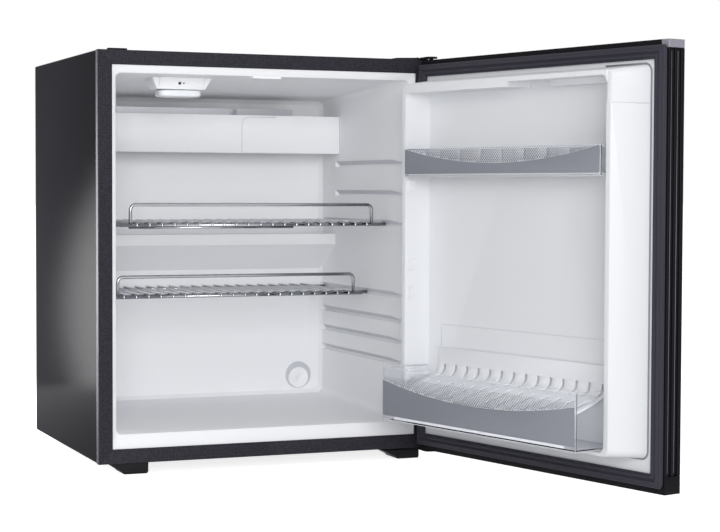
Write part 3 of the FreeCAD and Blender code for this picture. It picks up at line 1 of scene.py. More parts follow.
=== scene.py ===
import bpy
import numpy as np
from mathutils import Matrix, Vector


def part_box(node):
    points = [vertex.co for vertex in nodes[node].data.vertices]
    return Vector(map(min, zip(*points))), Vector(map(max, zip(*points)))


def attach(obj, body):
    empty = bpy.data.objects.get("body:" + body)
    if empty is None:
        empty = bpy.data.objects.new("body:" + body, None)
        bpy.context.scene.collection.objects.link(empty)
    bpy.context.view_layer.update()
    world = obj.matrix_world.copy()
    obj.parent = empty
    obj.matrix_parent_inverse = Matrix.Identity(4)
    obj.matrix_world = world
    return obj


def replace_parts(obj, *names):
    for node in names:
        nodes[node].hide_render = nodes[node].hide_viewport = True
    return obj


# Minibar fridge with its door open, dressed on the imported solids. Lengths are in metres, angles in degrees.
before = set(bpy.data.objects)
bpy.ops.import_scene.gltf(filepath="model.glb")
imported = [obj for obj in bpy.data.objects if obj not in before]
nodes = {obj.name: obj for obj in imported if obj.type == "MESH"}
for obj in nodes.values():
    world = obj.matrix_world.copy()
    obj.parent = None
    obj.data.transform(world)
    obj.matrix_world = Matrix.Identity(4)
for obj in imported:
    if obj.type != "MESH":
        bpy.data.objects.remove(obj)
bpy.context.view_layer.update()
scene = bpy.context.scene
alongX, alongY, alongZ = (1, 0, 0), (0, 1, 0), (0, 0, 1)
print("frame loaded:", len(nodes), "solids")


# Low and high corner of a solid's box.
def boxOf(name):
    return [np.array(corner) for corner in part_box(name)]


# Equal steps round a full turn, in radians.
def roundSteps(count):
    return np.linspace(0, 2 * np.pi, count, endpoint=False)


# Quads of a grid of rows x cols points for each of several sheets; the last column joins the first.
def gridFaces(sheets, rows, cols):
    s, r, c = np.meshgrid(np.arange(sheets), np.arange(rows - 1), np.arange(cols), indexing="ij")
    here = s * rows * cols + r * cols
    right = (c + 1) % cols
    quads = [here + c, here + right, here + cols + right, here + cols + c]
    return np.stack(quads, axis=-1).reshape(-1, 4)


def surfacePiece(name, points, faces, look, body):
    mesh = bpy.data.meshes.new(name)
    mesh.from_pydata(points.reshape(-1, 3).tolist(), [], faces.tolist())
    mesh.polygons.foreach_set("use_smooth", np.ones(len(mesh.polygons), bool))
    mesh.materials.append(finishes[look])
    mesh.update()
    piece = bpy.data.objects.new(name, mesh)
    scene.collection.objects.link(piece)
    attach(piece, body)
    return piece


# Ends of a wire: share of the radius left there, and a length that keeps a station without a run from
# dividing by zero.
wireEnd = {"share": 0.02, "noRun": 1e-12}


# Round wire along paths (wires x stations x 3): station + radius * (cos a * side + sin a * up), with the
# radius run down to almost nothing at both ends so that the wire is closed; up is square to the plane that
# the path lies in.
def wireTubes(paths, radius, up, sides=16):
    paths = np.concatenate([paths[:, :1], paths, paths[:, -1:]], axis=1)
    run = np.gradient(paths, axis=1)
    run[:, 0], run[:, -1] = run[:, 2], run[:, -3]
    run /= np.linalg.norm(run, axis=2, keepdims=True) + wireEnd["noRun"]
    up = np.broadcast_to(np.asarray(up, float), run.shape)
    side = np.cross(run, up)
    side /= np.linalg.norm(side, axis=2, keepdims=True)
    turn = roundSteps(sides)
    width = np.full(paths.shape[1], radius)
    width[[0, -1]] = radius * wireEnd["share"]
    ring = np.cos(turn)[:, None] * side[:, :, None] + np.sin(turn)[:, None] * up[:, :, None]
    points = paths[:, :, None] + width[None, :, None, None] * ring
    faces = gridFaces(paths.shape[0], paths.shape[1], sides)
    return points, faces[:, ::-1]


# Path through square corners: straight runs joined by quarter circles about corner + bend * (out - in), at
# bend * (in sin t - out cos t) from there.
def bentPath(corners, bend, steps=10):
    corners = np.asarray(corners, float)
    turn = np.linspace(0, np.pi / 2, steps)[:, None]
    stretch = [corners[:1]]
    for before, corner, after in zip(corners[:-2], corners[1:-1], corners[2:]):
        inward = (corner - before) / np.linalg.norm(corner - before)
        outward = (after - corner) / np.linalg.norm(after - corner)
        centre = corner + bend * (outward - inward)
        stretch.append(centre + bend * (inward * np.sin(turn) - outward * np.cos(turn)))
    stretch.append(corners[-1:])
    return np.concatenate(stretch)


# Bent path through (x, z) corners on an upright face.
def facePath(corners, face, bend):
    return bentPath([[x, face, z] for x, z in corners], bend)


def joined(parts):
    points, faces, start = [], [], 0
    for p, f in parts:
        p = p.reshape(-1, 3)
        points.append(p)
        faces.append(f + start)
        start += len(p)
    return np.concatenate(points), np.concatenate(faces)


# The open door: its own frame is the shut door, turned about the hinge line by the open angle.
doorPose = {"hinge": (0.4435, -0.048), "open": 103.4}


def turned(points, angle):
    c, s = np.cos(np.radians(angle)), np.sin(np.radians(angle))
    flat = points[..., :2] - doorPose["hinge"]
    spun = flat @ np.array([[c, s], [-s, c]]) + doorPose["hinge"]
    return np.concatenate([spun, points[..., 2:]], axis=-1)


def doorBox(name):
    spots = np.empty(len(nodes[name].data.vertices) * 3)
    nodes[name].data.vertices.foreach_get("co", spots)
    shut = turned(spots.reshape(-1, 3), -doorPose["open"])
    return shut.min(axis=0), shut.max(axis=0)


# Tubes along paths in the cabinet's frame or, for the door, in the frame of the shut door.
def tubePiece(name, paths, radius, up, look, body, sides=10):
    points, faces = wireTubes(np.array(paths, float), radius, up, sides)
    if body == "door":
        points = turned(points, doorPose["open"])
    surfacePiece(name, points, faces, look, body)


def linkAll(tree, pairs):
    for source, target in pairs:
        tree.links.new(source, target)


# Shared effects. fineGrain: height for a Bump, noise or pebbles; toneDrift: a colour that drifts over the
# surface.
grainLook = {"detail": 2.0, "randomness": 0.35, "scale": 900.0, "depth": 1.0, "bumpDistance": 0.0004}


def newGroup(name, inputs, outputs):
    group = bpy.data.node_groups.new(name, "ShaderNodeTree")
    for label, kind, value in inputs:
        socket = group.interface.new_socket(name=label, in_out="INPUT", socket_type=kind)
        socket.default_value = value
    for label, kind in outputs:
        group.interface.new_socket(name=label, in_out="OUTPUT", socket_type=kind)
    return group, group.nodes.new("NodeGroupInput"), group.nodes.new("NodeGroupOutput")


def makeFineGrain():
    inputs = [("Scale", "NodeSocketFloat", grainLook["scale"]),
              ("Depth", "NodeSocketFloat", grainLook["depth"]),
              ("Pebble", "NodeSocketFloat", plainLook["pebble"])]
    group, given, result = newGroup("fineGrain", inputs, [("Height", "NodeSocketFloat")])
    place = group.nodes.new("ShaderNodeTexCoord")
    noise = group.nodes.new("ShaderNodeTexNoise")
    noise.inputs["Detail"].default_value = grainLook["detail"]
    cells = group.nodes.new("ShaderNodeTexVoronoi")
    cells.inputs["Randomness"].default_value = grainLook["randomness"]
    mix = group.nodes.new("ShaderNodeMix")
    depth = group.nodes.new("ShaderNodeMath")
    depth.operation = "MULTIPLY"
    for texture in (noise, cells):
        linkAll(group, [(place.outputs["Object"], texture.inputs["Vector"]),
                        (given.outputs["Scale"], texture.inputs["Scale"])])
    linkAll(group, [(given.outputs["Pebble"], mix.inputs["Factor"]),
                    (noise.outputs["Fac"], mix.inputs["A"]),
                    (cells.outputs["Distance"], mix.inputs["B"]),
                    (mix.outputs["Result"], depth.inputs[0]),
                    (given.outputs["Depth"], depth.inputs[1]),
                    (depth.outputs[0], result.inputs["Height"])])
    return group


def makeToneDrift():
    white = (1, 1, 1, 1)
    inputs = [("Color", "NodeSocketColor", white), ("Other", "NodeSocketColor", white),
              ("Scale", "NodeSocketFloat", plainLook["driftScale"])]
    group, given, result = newGroup("toneDrift", inputs, [("Color", "NodeSocketColor")])
    place = group.nodes.new("ShaderNodeTexCoord")
    noise = group.nodes.new("ShaderNodeTexNoise")
    mix = group.nodes.new("ShaderNodeMix")
    mix.data_type = "RGBA"
    linkAll(group, [(place.outputs["Object"], noise.inputs["Vector"]),
                    (given.outputs["Scale"], noise.inputs["Scale"]),
                    (noise.outputs["Fac"], mix.inputs["Factor"]),
                    (given.outputs["Color"], mix.inputs["A"]),
                    (given.outputs["Other"], mix.inputs["B"]),
                    (mix.outputs["Result"], result.inputs["Color"])])
    return group


# Grain of a finish: (scale, depth) of the shared height, as a bump and, with a speckle, as a second tone.
def addGrain(tree, shader, tone, look):
    grain = tree.nodes.new("ShaderNodeGroup")
    grain.node_tree = fineGrain
    grain.inputs["Scale"].default_value, grain.inputs["Depth"].default_value = look["grain"]
    grain.inputs["Pebble"].default_value = look["pebble"]
    bump = tree.nodes.new("ShaderNodeBump")
    bump.inputs["Strength"].default_value = look["bump"]
    bump.inputs["Distance"].default_value = grainLook["bumpDistance"]
    linkAll(tree, [(grain.outputs["Height"], bump.inputs["Height"]),
                   (bump.outputs["Normal"], shader.inputs["Normal"])])
    if "speckle" in look:
        mix = tree.nodes.new("ShaderNodeMix")
        mix.data_type = "RGBA"
        mix.inputs["B"].default_value = look["speckle"] + (1,)
        linkAll(tree, [(grain.outputs["Height"], mix.inputs["Factor"]),
                       (tone.outputs["Color"], mix.inputs["A"]),
                       (mix.outputs["Result"], shader.inputs["Base Color"])])


def finish(name, look):
    look = {**plainLook, **look}
    material = bpy.data.materials.new(name)
    material.use_nodes = True
    tree = material.node_tree
    shader = tree.nodes["Principled BSDF"]
    shader.inputs["Base Color"].default_value = look["color"] + (1,)
    for key, label in socketOf.items():
        if key in look:
            shader.inputs[label].default_value = look[key]
    tone = tree.nodes.new("ShaderNodeGroup")
    tone.node_tree = toneDrift
    tone.inputs["Color"].default_value = look["color"] + (1,)
    tone.inputs["Other"].default_value = look["drift"] + (1,)
    tone.inputs["Scale"].default_value = look["driftScale"]
    tree.links.new(tone.outputs["Color"], shader.inputs["Base Color"])
    if "grain" in look:
        addGrain(tree, shader, tone, look)
    return material


# Finishes: the colour drifts to the second one over the surface; plainLook has what a finish leaves out.
socketOf = {"rough": "Roughness", "gloss": "Specular IOR Level", "metal": "Metallic",
            "clear": "Transmission Weight", "index": "IOR"}
plainLook = {"driftScale": 6.0, "bump": 0.3, "pebble": 0.0}
looks = {
    "caseBlack": {"color": (0.007, 0.007, 0.009), "drift": (0.011, 0.010, 0.013), "rough": 0.10,
                  "gloss": 0.001, "grain": (1400.0, 1.0), "bump": 0.08},
    "frameGrey": {"color": (0.010, 0.010, 0.013), "drift": (0.016, 0.015, 0.020), "driftScale": 9.0,
                  "rough": 0.5, "gloss": 0.06, "grain": (330.0, 1.3), "bump": 1.0, "pebble": 1.0,
                  "speckle": (0.044, 0.042, 0.054)},
    "linerWhite": {"color": (0.915, 0.922, 0.942), "drift": (0.90, 0.91, 0.933), "driftScale": 3.0,
                   "rough": 0.46, "gloss": 0.22, "grain": (700.0, 1.0), "bump": 0.05},
    "doorWhite": {"color": (0.78, 0.79, 0.815), "drift": (0.76, 0.775, 0.805), "driftScale": 3.0,
                  "rough": 0.42, "gloss": 0.22, "grain": (700.0, 1.0), "bump": 0.04},
    # Painted shade: a darker white for thin lines along moulded steps.
    "paintedStepShade": {"color": (0.66, 0.67, 0.71), "drift": (0.60, 0.61, 0.66), "rough": 0.4},
    # Painted shade: a slightly darker white for strips on the roofs of the shelf grooves.
    "paintedGrooveShade": {"color": (0.72, 0.73, 0.775), "drift": (0.69, 0.70, 0.75), "rough": 0.5, "gloss": 0.2},
    # Painted shade: a grey for the line at the dyke's foot.
    "paintedFootShade": {"color": (0.30, 0.30, 0.345), "drift": (0.26, 0.26, 0.30), "rough": 0.5, "gloss": 0.2},
    # Painted highlight: a pale grey for lines on the ridges of the black edge profile.
    "paintedRidgeHighlight": {"color": (0.20, 0.19, 0.23), "drift": (0.07, 0.07, 0.085), "driftScale": 7.0,
                  "rough": 0.35},
    "lensWhite": {"color": (0.86, 0.88, 0.92), "drift": (0.83, 0.85, 0.90), "driftScale": 40.0,
                  "rough": 0.22, "gloss": 0.5},
    "sensorDark": {"color": (0.02, 0.02, 0.02), "drift": (0.03, 0.03, 0.03), "rough": 0.2},
    "alloy": {"color": (0.52, 0.53, 0.56), "drift": (0.44, 0.45, 0.48), "driftScale": 20.0,
              "rough": 0.38, "metal": 1.0},
    "backSteel": {"color": (0.34, 0.35, 0.36), "drift": (0.30, 0.31, 0.32), "rough": 0.42, "metal": 0.6},
    "unitBlack": {"color": (0.014, 0.014, 0.015), "drift": (0.022, 0.021, 0.020), "rough": 0.45,
                  "grain": (500.0, 1.0), "bump": 0.2},
    "trimBlack": {"color": (0.006, 0.006, 0.008), "drift": (0.009, 0.009, 0.011), "rough": 0.34,
                  "gloss": 0.05, "grain": (1200.0, 1.0), "bump": 0.15},
    "footBlack": {"color": (0.010, 0.010, 0.012), "drift": (0.014, 0.014, 0.016), "rough": 0.5,
                  "gloss": 0.1, "grain": (900.0, 1.0)},
    "gasketGrey": {"color": (0.037, 0.035, 0.049), "drift": (0.044, 0.042, 0.057), "rough": 0.5,
                   "gloss": 0.12, "grain": (900.0, 1.0), "bump": 0.15},
    "capSilver": {"color": (0.25, 0.245, 0.29), "drift": (0.22, 0.22, 0.26), "rough": 0.35},
    "screwSteel": {"color": (0.55, 0.55, 0.57), "drift": (0.48, 0.48, 0.50), "driftScale": 60.0,
                   "rough": 0.35, "metal": 1.0},
    "bushWhite": {"color": (0.75, 0.75, 0.74), "drift": (0.70, 0.70, 0.69), "rough": 0.45},
    "foamCream": {"color": (0.72, 0.62, 0.36), "drift": (0.66, 0.55, 0.30), "driftScale": 30.0,
                  "rough": 0.9, "grain": (400.0, 1.0), "bump": 0.5},
    "guardClear": {"color": (0.99, 0.99, 1.0), "drift": (0.98, 0.985, 1.0), "rough": 0.01,
                   "clear": 1.0, "index": 1.12},
    # Painted highlight and painted shade: a pale grey for lines on the rims of the clear guards, and a
    # blue-black for the line at one corner.
    "rimGlint": {"color": (0.70, 0.72, 0.76), "drift": (0.60, 0.62, 0.67), "driftScale": 25.0,
                 "rough": 0.2},
    "rimDark": {"color": (0.035, 0.037, 0.060), "drift": (0.06, 0.06, 0.09), "rough": 0.3},
    # Painted shade: a darker white for a disc in the recess round the wall plug.
    "paintedWellShade": {"color": (0.60, 0.61, 0.65), "drift": (0.56, 0.57, 0.62), "rough": 0.45},
    # Painted light: a lighter copy of wireChrome for the deck wires, for the light they catch.
    "deckChrome": {"color": (0.60, 0.61, 0.64), "drift": (0.50, 0.51, 0.54), "driftScale": 40.0,
                   "rough": 0.14, "metal": 1.0},
    "bandGrey": {"color": (0.265, 0.275, 0.315), "drift": (0.235, 0.245, 0.285), "driftScale": 4.0,
                 "rough": 0.42, "gloss": 0.3},
    "wireChrome": {"color": (0.40, 0.405, 0.43), "drift": (0.32, 0.325, 0.35), "driftScale": 30.0,
                   "rough": 0.12, "metal": 1.0},
}
fineGrain = makeFineGrain()
toneDrift = makeToneDrift()
finishes = {name: finish(name, look) for name, look in looks.items()}

wornBy = {
    "caseBlack": ["outer_case", "door_panel"],
    "frameGrey": ["frame_left", "frame_right", "frame_top", "frame_bottom_left", "frame_bottom_right"],
    "linerWhite": ["inner_liner", "light_housing", "light_end_caps", "evaporator_cover", "wall_plug"],
    "doorWhite": ["door_liner", "upper_rack_tray", "lower_rack_tray"],
    "lensWhite": ["light_lens"],
    "sensorDark": ["light_sensors"],
    "alloy": ["evaporator_fins"],
    "backSteel": ["rear_panel", "boiler_casing"],
    "unitBlack": ["unit_rails", "absorber_vessel", "absorber_coil", "condenser_tube", "condenser_fins",
                  "return_pipe"],
    "trimBlack": ["hinge_hole_cap", "door_edge_profile", "door_trim_top", "door_trim_bottom",
                  "door_trim_hinge", "edge_cap_bottom", "terminal_box", "cable_gland",
                  "upper_hinge_bracket", "lower_hinge_bracket"],
    "footBlack": ["front_left_foot", "front_right_foot", "rear_left_foot", "rear_right_foot"],
    "gasketGrey": ["door_gasket"],
    "capSilver": ["edge_cap_top"],
    "screwSteel": ["hinge_screws"],
    "bushWhite": ["upper_hinge_bush", "lower_hinge_bush"],
    "foamCream": ["cabinet_foam", "door_foam"],
    "guardClear": ["upper_rack_guard", "lower_rack_guard"],
    "bandGrey": ["upper_rack_band", "lower_rack_band"],
    "wireChrome": ["upper_shelf_frame", "upper_shelf_wires", "upper_shelf_guard",
                   "lower_shelf_frame", "lower_shelf_wires", "lower_shelf_guard"],
}
for look, names in wornBy.items():
    for name in names:
        nodes[name].data.materials.clear()
        nodes[name].data.materials.append(finishes[look])
print("finishes set:", sum(len(names) for names in wornBy.values()))

# Softened edges: a solid's triangles are welded and its sharp edges bevelled; the pieces by bevel width.
edgeLook = {"weld": 0.00002, "segments": 3, "sharp": 32}
softEdges = {
    0.0012: ["front_left_foot", "front_right_foot", "light_housing", "light_end_caps", "evaporator_cover",
             "door_edge_profile", "edge_cap_top", "edge_cap_bottom", "door_gasket"],
    0.0005: ["frame_left", "frame_right", "frame_top", "frame_bottom_left", "frame_bottom_right",
             "hinge_hole_cap", "upper_rack_band", "lower_rack_band", "upper_hinge_bracket",
             "lower_hinge_bracket", "door_panel", "upper_rack_tray", "lower_rack_tray", "terminal_box",
             "unit_rails"],
    0.0030: ["inner_liner", "door_liner"],
}


def soften(node, width):
    weld = node.modifiers.new("weld", "WELD")
    weld.merge_threshold = edgeLook["weld"]
    bevel = node.modifiers.new("bevel", "BEVEL")
    bevel.width = width
    bevel.segments = edgeLook["segments"]
    bevel.limit_method = "ANGLE"
    bevel.angle_limit = np.radians(edgeLook["sharp"])
    bevel.use_clamp_overlap = True
    bevel.harden_normals = True
    faces = node.data.polygons
    faces.foreach_set("use_smooth", np.ones(len(faces), bool))


for width, names in softEdges.items():
    for name in names:
        soften(nodes[name], width)

# Wire shelves: front bar, two carrier bars out to the grooves, side wires, deck wires that turn down over
# the front bar, the guard loop and, under the upper shelf, a brace.
shelfLook = {"bar": 0.0025, "sideWire": 0.0022, "brace": 0.0018, "frontHalf": 0.203, "sideHalf": 0.190,
             "carrierIn": 0.025, "braceEnds": (-0.190, 0.062), "braceDrop": 0.0035, "braceBack": 0.002,
             "deckCount": 20, "deckSides": 12, "turnDown": (200.0, 90.0), "turnSteps": 10,
             "guardBend": 0.008, "guardSides": 20}


def shelfPiece(name, kind, parts, look="wireChrome"):
    piece = surfacePiece(name + kind + "Look", *joined(parts), look, name)
    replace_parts(piece, name + "_" + kind.lower())


# Middle of the shelf, reach of its carrier bars, level, and the lines of the front and the rear bar.
def shelfLines(name):
    low, high = boxOf(name + "_frame")
    bar = shelfLook["bar"]
    return (low[0] + high[0]) / 2, (high[0] - low[0]) / 2, high[2] - bar, low[1] + bar, high[1] - bar


def shelfFrame(name, braced):
    mid, reach, level, front, rear = shelfLines(name)
    half = np.array([-1.0, 1.0])
    lines = [(shelfLook["frontHalf"], front), (reach, front + shelfLook["carrierIn"]), (reach, rear)]
    bars = np.array([[[mid + h * side, y, level] for side in half] for h, y in lines])
    offsets = half * shelfLook["sideHalf"]
    sides = np.array([[[mid + h, front, level], [mid + h, rear, level]] for h in offsets])
    parts = [wireTubes(bars, shelfLook["bar"], alongZ), wireTubes(sides, shelfLook["sideWire"], alongZ)]
    if braced:
        y, z = front + shelfLook["braceBack"], level - shelfLook["braceDrop"]
        rod = np.array([[[mid + x, y, z] for x in shelfLook["braceEnds"]]])
        parts.append(wireTubes(rod, shelfLook["brace"], alongZ))
    shelfPiece(name, "Frame", parts)


def shelfDeck(name):
    level, front = shelfLines(name)[2:4]
    low, high = boxOf(name + "_wires")
    thin = (high[2] - low[2]) / 2
    over = shelfLook["bar"] + thin
    x = np.linspace(low[0] + thin, high[0] - thin, shelfLook["deckCount"])
    down = np.radians(np.linspace(*shelfLook["turnDown"], shelfLook["turnSteps"]))
    swing = np.stack([0 * down, front + over * np.cos(down), level + over * np.sin(down)], axis=1)
    run = np.concatenate([swing, [[0, high[1], level + over]]])
    paths = x[:, None, None] * alongX + run[None]
    deck = wireTubes(paths, thin, alongX, shelfLook["deckSides"])
    shelfPiece(name, "Wires", [deck], "deckChrome")


def shelfGuard(name):
    low, high = boxOf(name + "_guard")
    bar, y = shelfLook["bar"], (low[1] + high[1]) / 2
    left, right, top = low[0] + bar, high[0] - bar, high[2] - bar
    corners = [(left, low[2]), (left, top), (right, top), (right, low[2])]
    loop = facePath(corners, y, shelfLook["guardBend"])
    shelfPiece(name, "Guard", [wireTubes(loop[None], bar, alongY, shelfLook["guardSides"])])


for shelf, braced in (("upper_shelf", True), ("lower_shelf", False)):
    shelfFrame(shelf, braced)
    shelfDeck(shelf)
    shelfGuard(shelf)
print("shelves dressed")

# Dots printed on the clear guards above the hollow edge of the band, as low domes on a staggered lattice.
# The edge is the arc through the band's two ends and its sag, and a dot shrinks with its height above that
# arc. Each rack has the sag and how far the dots go over the band's ends.
dotLook = {"pitch": 0.0046, "row": 0.0023, "big": 0.00135, "small": 0.00085, "proud": 0.00010, "sides": 8,
           "racks": {"upper_rack": (0.021, 0.0002), "lower_rack": (0.0195, 0.0035)}}


# Places of the dots across and up, and their radii.
def dotLattice(half, foot, sag, over):
    bend = (half ** 2 + sag ** 2) / (2 * sag)
    pitch, big = dotLook["pitch"], dotLook["big"]
    rows = np.arange(foot - sag, foot + over, dotLook["row"])
    x, z = np.meshgrid(np.arange(-half, half, pitch), rows)
    x = x + (np.arange(len(rows)) % 2)[:, None] * pitch / 2
    keep = np.abs(x) < half - big
    x, z = x[keep], z[keep]
    edge = foot - sag + bend - np.sqrt(bend ** 2 - x ** 2)
    keep = z > edge + big
    x, z, edge = x[keep], z[keep], edge[keep]
    return x, z, big + (dotLook["small"] - big) * (z - edge) / (foot + over - edge)


def rackDots(name, sag, over):
    low, high = doorBox(name + "_band")
    face = doorBox(name + "_guard")[1][1]
    half, mid = (high[0] - low[0]) / 2, (high[0] + low[0]) / 2
    x, z, size = dotLattice(half, high[2], sag, over)
    sides = dotLook["sides"]
    turn = roundSteps(sides)
    across = mid + x[:, None] + size[:, None] * np.cos(turn)
    up = z[:, None] + size[:, None] * np.sin(turn)
    rim = np.stack([across, np.full(up.shape, face), up], axis=-1)
    top = np.stack([mid + x, np.full(len(x), face + dotLook["proud"]), z], axis=-1)
    points = np.concatenate([top[:, None], rim], axis=1)
    first = np.arange(sides)
    fan = np.stack([0 * first, (first + 1) % sides + 1, first + 1], axis=1)
    faces = (fan[None] + (np.arange(len(x)) * (sides + 1))[:, None, None]).reshape(-1, 3)
    piece = surfacePiece(name + "Dots", turned(points, doorPose["open"]), faces, "bandGrey", name)


for rack, values in dotLook["racks"].items():
    rackDots(rack, *values)

# Painted light on the guards' rims: a pale highlight line round the top and the bottom and up the front
# corners, and a painted shade line where the corner at the free end turns the light away.
rimLook = {"radius": 0.00045, "sheet": 0.0012, "bend": 0.002, "darkIn": 0.0016, "sides": 8}


def rackRimGlints(name):
    low, high = doorBox(name + "_guard")
    bandLow, bandHigh = doorBox(name + "_band")
    left, right = bandLow[0] - rimLook["sheet"], bandHigh[0] + rimLook["sheet"]
    thick, sides = rimLook["radius"], rimLook["sides"]
    back, face = low[1], high[1] - thick
    bottom, top = low[2] + thick, high[2] - thick
    loops = []
    for z in (top, bottom):
        corners = [[left, back, z], [left, face, z], [right, face, z], [right, back, z]]
        loops.append(wireTubes(bentPath(corners, rimLook["bend"])[None], thick, alongZ, sides))
    posts = np.array([[[x, face, bottom], [x, face, top]] for x in (left, right)])
    loops.append(wireTubes(posts, thick, alongX, sides))
    dark = [wireTubes(posts[:1] + [0, -rimLook["darkIn"], 0], thick, alongX, sides)]
    for label, parts, look in (("RimGlints", loops, "rimGlint"), ("CornerShade", dark, "rimDark")):
        points, faces = joined(parts)
        surfacePiece(name + label, turned(points, doorPose["open"]), faces, look, name)


for rack in dotLook["racks"]:
    rackRimGlints(rack)

# Tail of the gasket: a bead that closes the flange of the door liner on its three free sides.
beadLook = {"radius": 0.0016, "bend": 0.004, "depth": -0.0332, "sides": 12,
            "line": [(0.447, 0.5844), (-0.0525, 0.5844), (-0.0525, 0.0266), (0.447, 0.0266)]}
beadPath = facePath(beadLook["line"], beadLook["depth"], beadLook["bend"])
tubePiece("gasketBead", [beadPath], beadLook["radius"], alongY, "gasketGrey", "door", beadLook["sides"])

# Wall plug, and a darker disc of painted shade on the floor of its recess, each a profile of (radius,
# distance in front of the face) turned round; a radius of nothing becomes the least one, and the plug's rim
# stands proud of its face.
plugLook = {"profile": [(0.0, -0.0006), (0.0008, -0.0006), (0.0012, 0.0), (0.0140, 0.0), (0.0148, 0.0004),
                        (0.0163, 0.0004), (0.0170, 0.0), (0.0174, -0.0010), (0.0174, -0.0160),
                        (0.0, -0.0160)],
            "well": [(0.0, 0.0002), (0.0120, 0.0002), (0.0222, 0.0002)], "wellFace": 0.3277,
            "wellRise": 0.004, "proud": 0.0004, "around": 64, "least": 0.00001}


def roundPiece(name, profile, centre, look):
    r, out = np.array(profile).T
    u = roundSteps(plugLook["around"])
    r = np.maximum(r, plugLook["least"])[:, None]
    points = np.stack([centre[0] + r * np.cos(u), centre[1] - out[:, None] + 0 * u,
                       centre[2] + r * np.sin(u)], axis=-1)
    faces = gridFaces(1, len(profile), plugLook["around"])
    return surfacePiece(name, points, faces[:, ::-1], look, "cabinet")


plugLow, plugHigh = boxOf("wall_plug")
plugMid = (plugLow + plugHigh) / 2
plugMid[1] = plugLow[1] + plugLook["proud"]
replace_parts(roundPiece("plugDisc", plugLook["profile"], plugMid, "linerWhite"), "wall_plug")
# The disc of painted shade sits a little above the plug, so a crescent of it shows in the recess.
wellMid = [plugMid[0], plugLook["wellFace"], plugMid[2] + plugLook["wellRise"]]
roundPiece("plugWellShade", plugLook["well"], wellMid, "paintedWellShade")

# Painted lines in the mouldings: painted shade along the step on the evaporator cover, round the pad above
# the lower rack's plate, along the foot and the step of the dyke at the door's free side, and painted
# highlights on the ridges of the edge profile.
paintedLineLook = {"radius": 0.0005, "cover": [(0.2484, 0.4610), (0.2484, 0.5168), (0.3060, 0.5168)],
            "coverBend": 0.012, "padFace": -0.0155, "padBend": 0.004,
            "pad": [(0.3745, 0.1775), (0.3745, 0.2087), (0.0205, 0.2087), (0.0205, 0.1775)],
            "footRadius": 0.0017, "footFace": -0.0325, "footBend": 0.011,
            "foot": [(0.054, 0.5634), (-0.0290, 0.5634), (-0.0290, 0.0594), (0.090, 0.0594)],
            "step": [(-0.0184, 0.0268, 0.513), (-0.0274, -0.0290, 0.513)],
            "ridgeRadius": 0.0006, "ridges": [(-0.0558, -0.0396), (-0.0558, -0.0507)],
            "ridgeEnds": (0.044, 0.578)}
coverPath = facePath(paintedLineLook["cover"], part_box("evaporator_cover")[0][1], paintedLineLook["coverBend"])
tubePiece("coverStepShadeLine", [coverPath], paintedLineLook["radius"], alongY, "paintedStepShade", "cabinet")
padPath = facePath(paintedLineLook["pad"], paintedLineLook["padFace"], paintedLineLook["padBend"])
tubePiece("doorPadShadeLine", [padPath], paintedLineLook["radius"], alongY, "paintedStepShade", "door")
# Painted shade at the foot of the dyke: a grey line along the flange at the door's free side.
footPath = facePath(paintedLineLook["foot"], paintedLineLook["footFace"], paintedLineLook["footBend"])
tubePiece("dykeFootShadeLine", [footPath], paintedLineLook["footRadius"], alongY, "paintedFootShade", "door")
tubePiece("dykeStepShadeLine", [paintedLineLook["step"]], paintedLineLook["radius"], alongZ, "paintedStepShade", "door")
# Painted highlights: pale grey lines along the ridge edges of the edge profile.
ridges = [[(x, y, z) for z in paintedLineLook["ridgeEnds"]] for x, y in paintedLineLook["ridges"]]
tubePiece("profileRidgeHighlights", ridges, paintedLineLook["ridgeRadius"], alongX, "paintedRidgeHighlight", "door")

# Painted shade on the roofs of the shelf grooves in both side walls: darker strips just under the slope that
# runs from the groove's mouth up to the wall, each from its groove's end to the flared mouth, where it runs
# out. The levels of the grooves are listed by where they end.
grooveLook = {"mid": 0.1975, "half": 0.218, "deep": 0.0070, "mouth": 0.0030, "height": 0.0095,
              "share": (0.06, 0.94), "lift": 0.0001, "frontLow": -0.010, "frontHigh": 0.036,
              "levels": {0.318: [0.1375, 0.1695, 0.2015, 0.2390, 0.3470], 0.262: [0.3925, 0.4390]}}


def grooveRoofShade():
    share, lift = np.array(grooveLook["share"]), grooveLook["lift"]
    mouth, height = grooveLook["mouth"], grooveLook["height"]
    rise = mouth + (height - mouth) * share - lift
    across = grooveLook["half"] + grooveLook["deep"] * (1 - share) - lift
    sheets = []
    for side in (-1, 1):
        x = grooveLook["mid"] + side * across
        for end, levels in grooveLook["levels"].items():
            corners = ((1, grooveLook["frontHigh"]), (1, end), (0, end), (0, grooveLook["frontLow"]))
            for level in levels:
                strip = [(x[i], y, level + rise[i]) for i, y in corners]
                sheets.append(strip[::side])
    faces = np.arange(4 * len(sheets)).reshape(-1, 4)
    surfacePiece("grooveRoofShade", np.array(sheets), faces, "paintedGrooveShade", "cabinet")


grooveRoofShade()

# Lens of the light: a pillow, half size times (cos v cos u, cos v sin u, sin v), each raised to a low power
# so that it fills its box, with v stopped just short of the poles.
lensLook = {"power": 0.42, "around": 64, "rings": 33, "pole": 0.4999 * np.pi}


def softPower(values):
    return np.sign(values) * np.abs(values) ** lensLook["power"]


def makeLens():
    low, high = boxOf("light_lens")
    u = roundSteps(lensLook["around"])[None]
    v = np.linspace(-lensLook["pole"], lensLook["pole"], lensLook["rings"])[:, None]
    flat = softPower(np.cos(v))
    ball = np.stack([flat * softPower(np.cos(u)), flat * softPower(np.sin(u)),
                     softPower(np.sin(v)) + 0 * u], axis=-1)
    points = (low + high) / 2 + (high - low) / 2 * ball
    faces = gridFaces(1, lensLook["rings"], lensLook["around"])
    lens = surfacePiece("lensLook", points, faces, "lensWhite", "cabinet")
    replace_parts(lens, "light_lens")


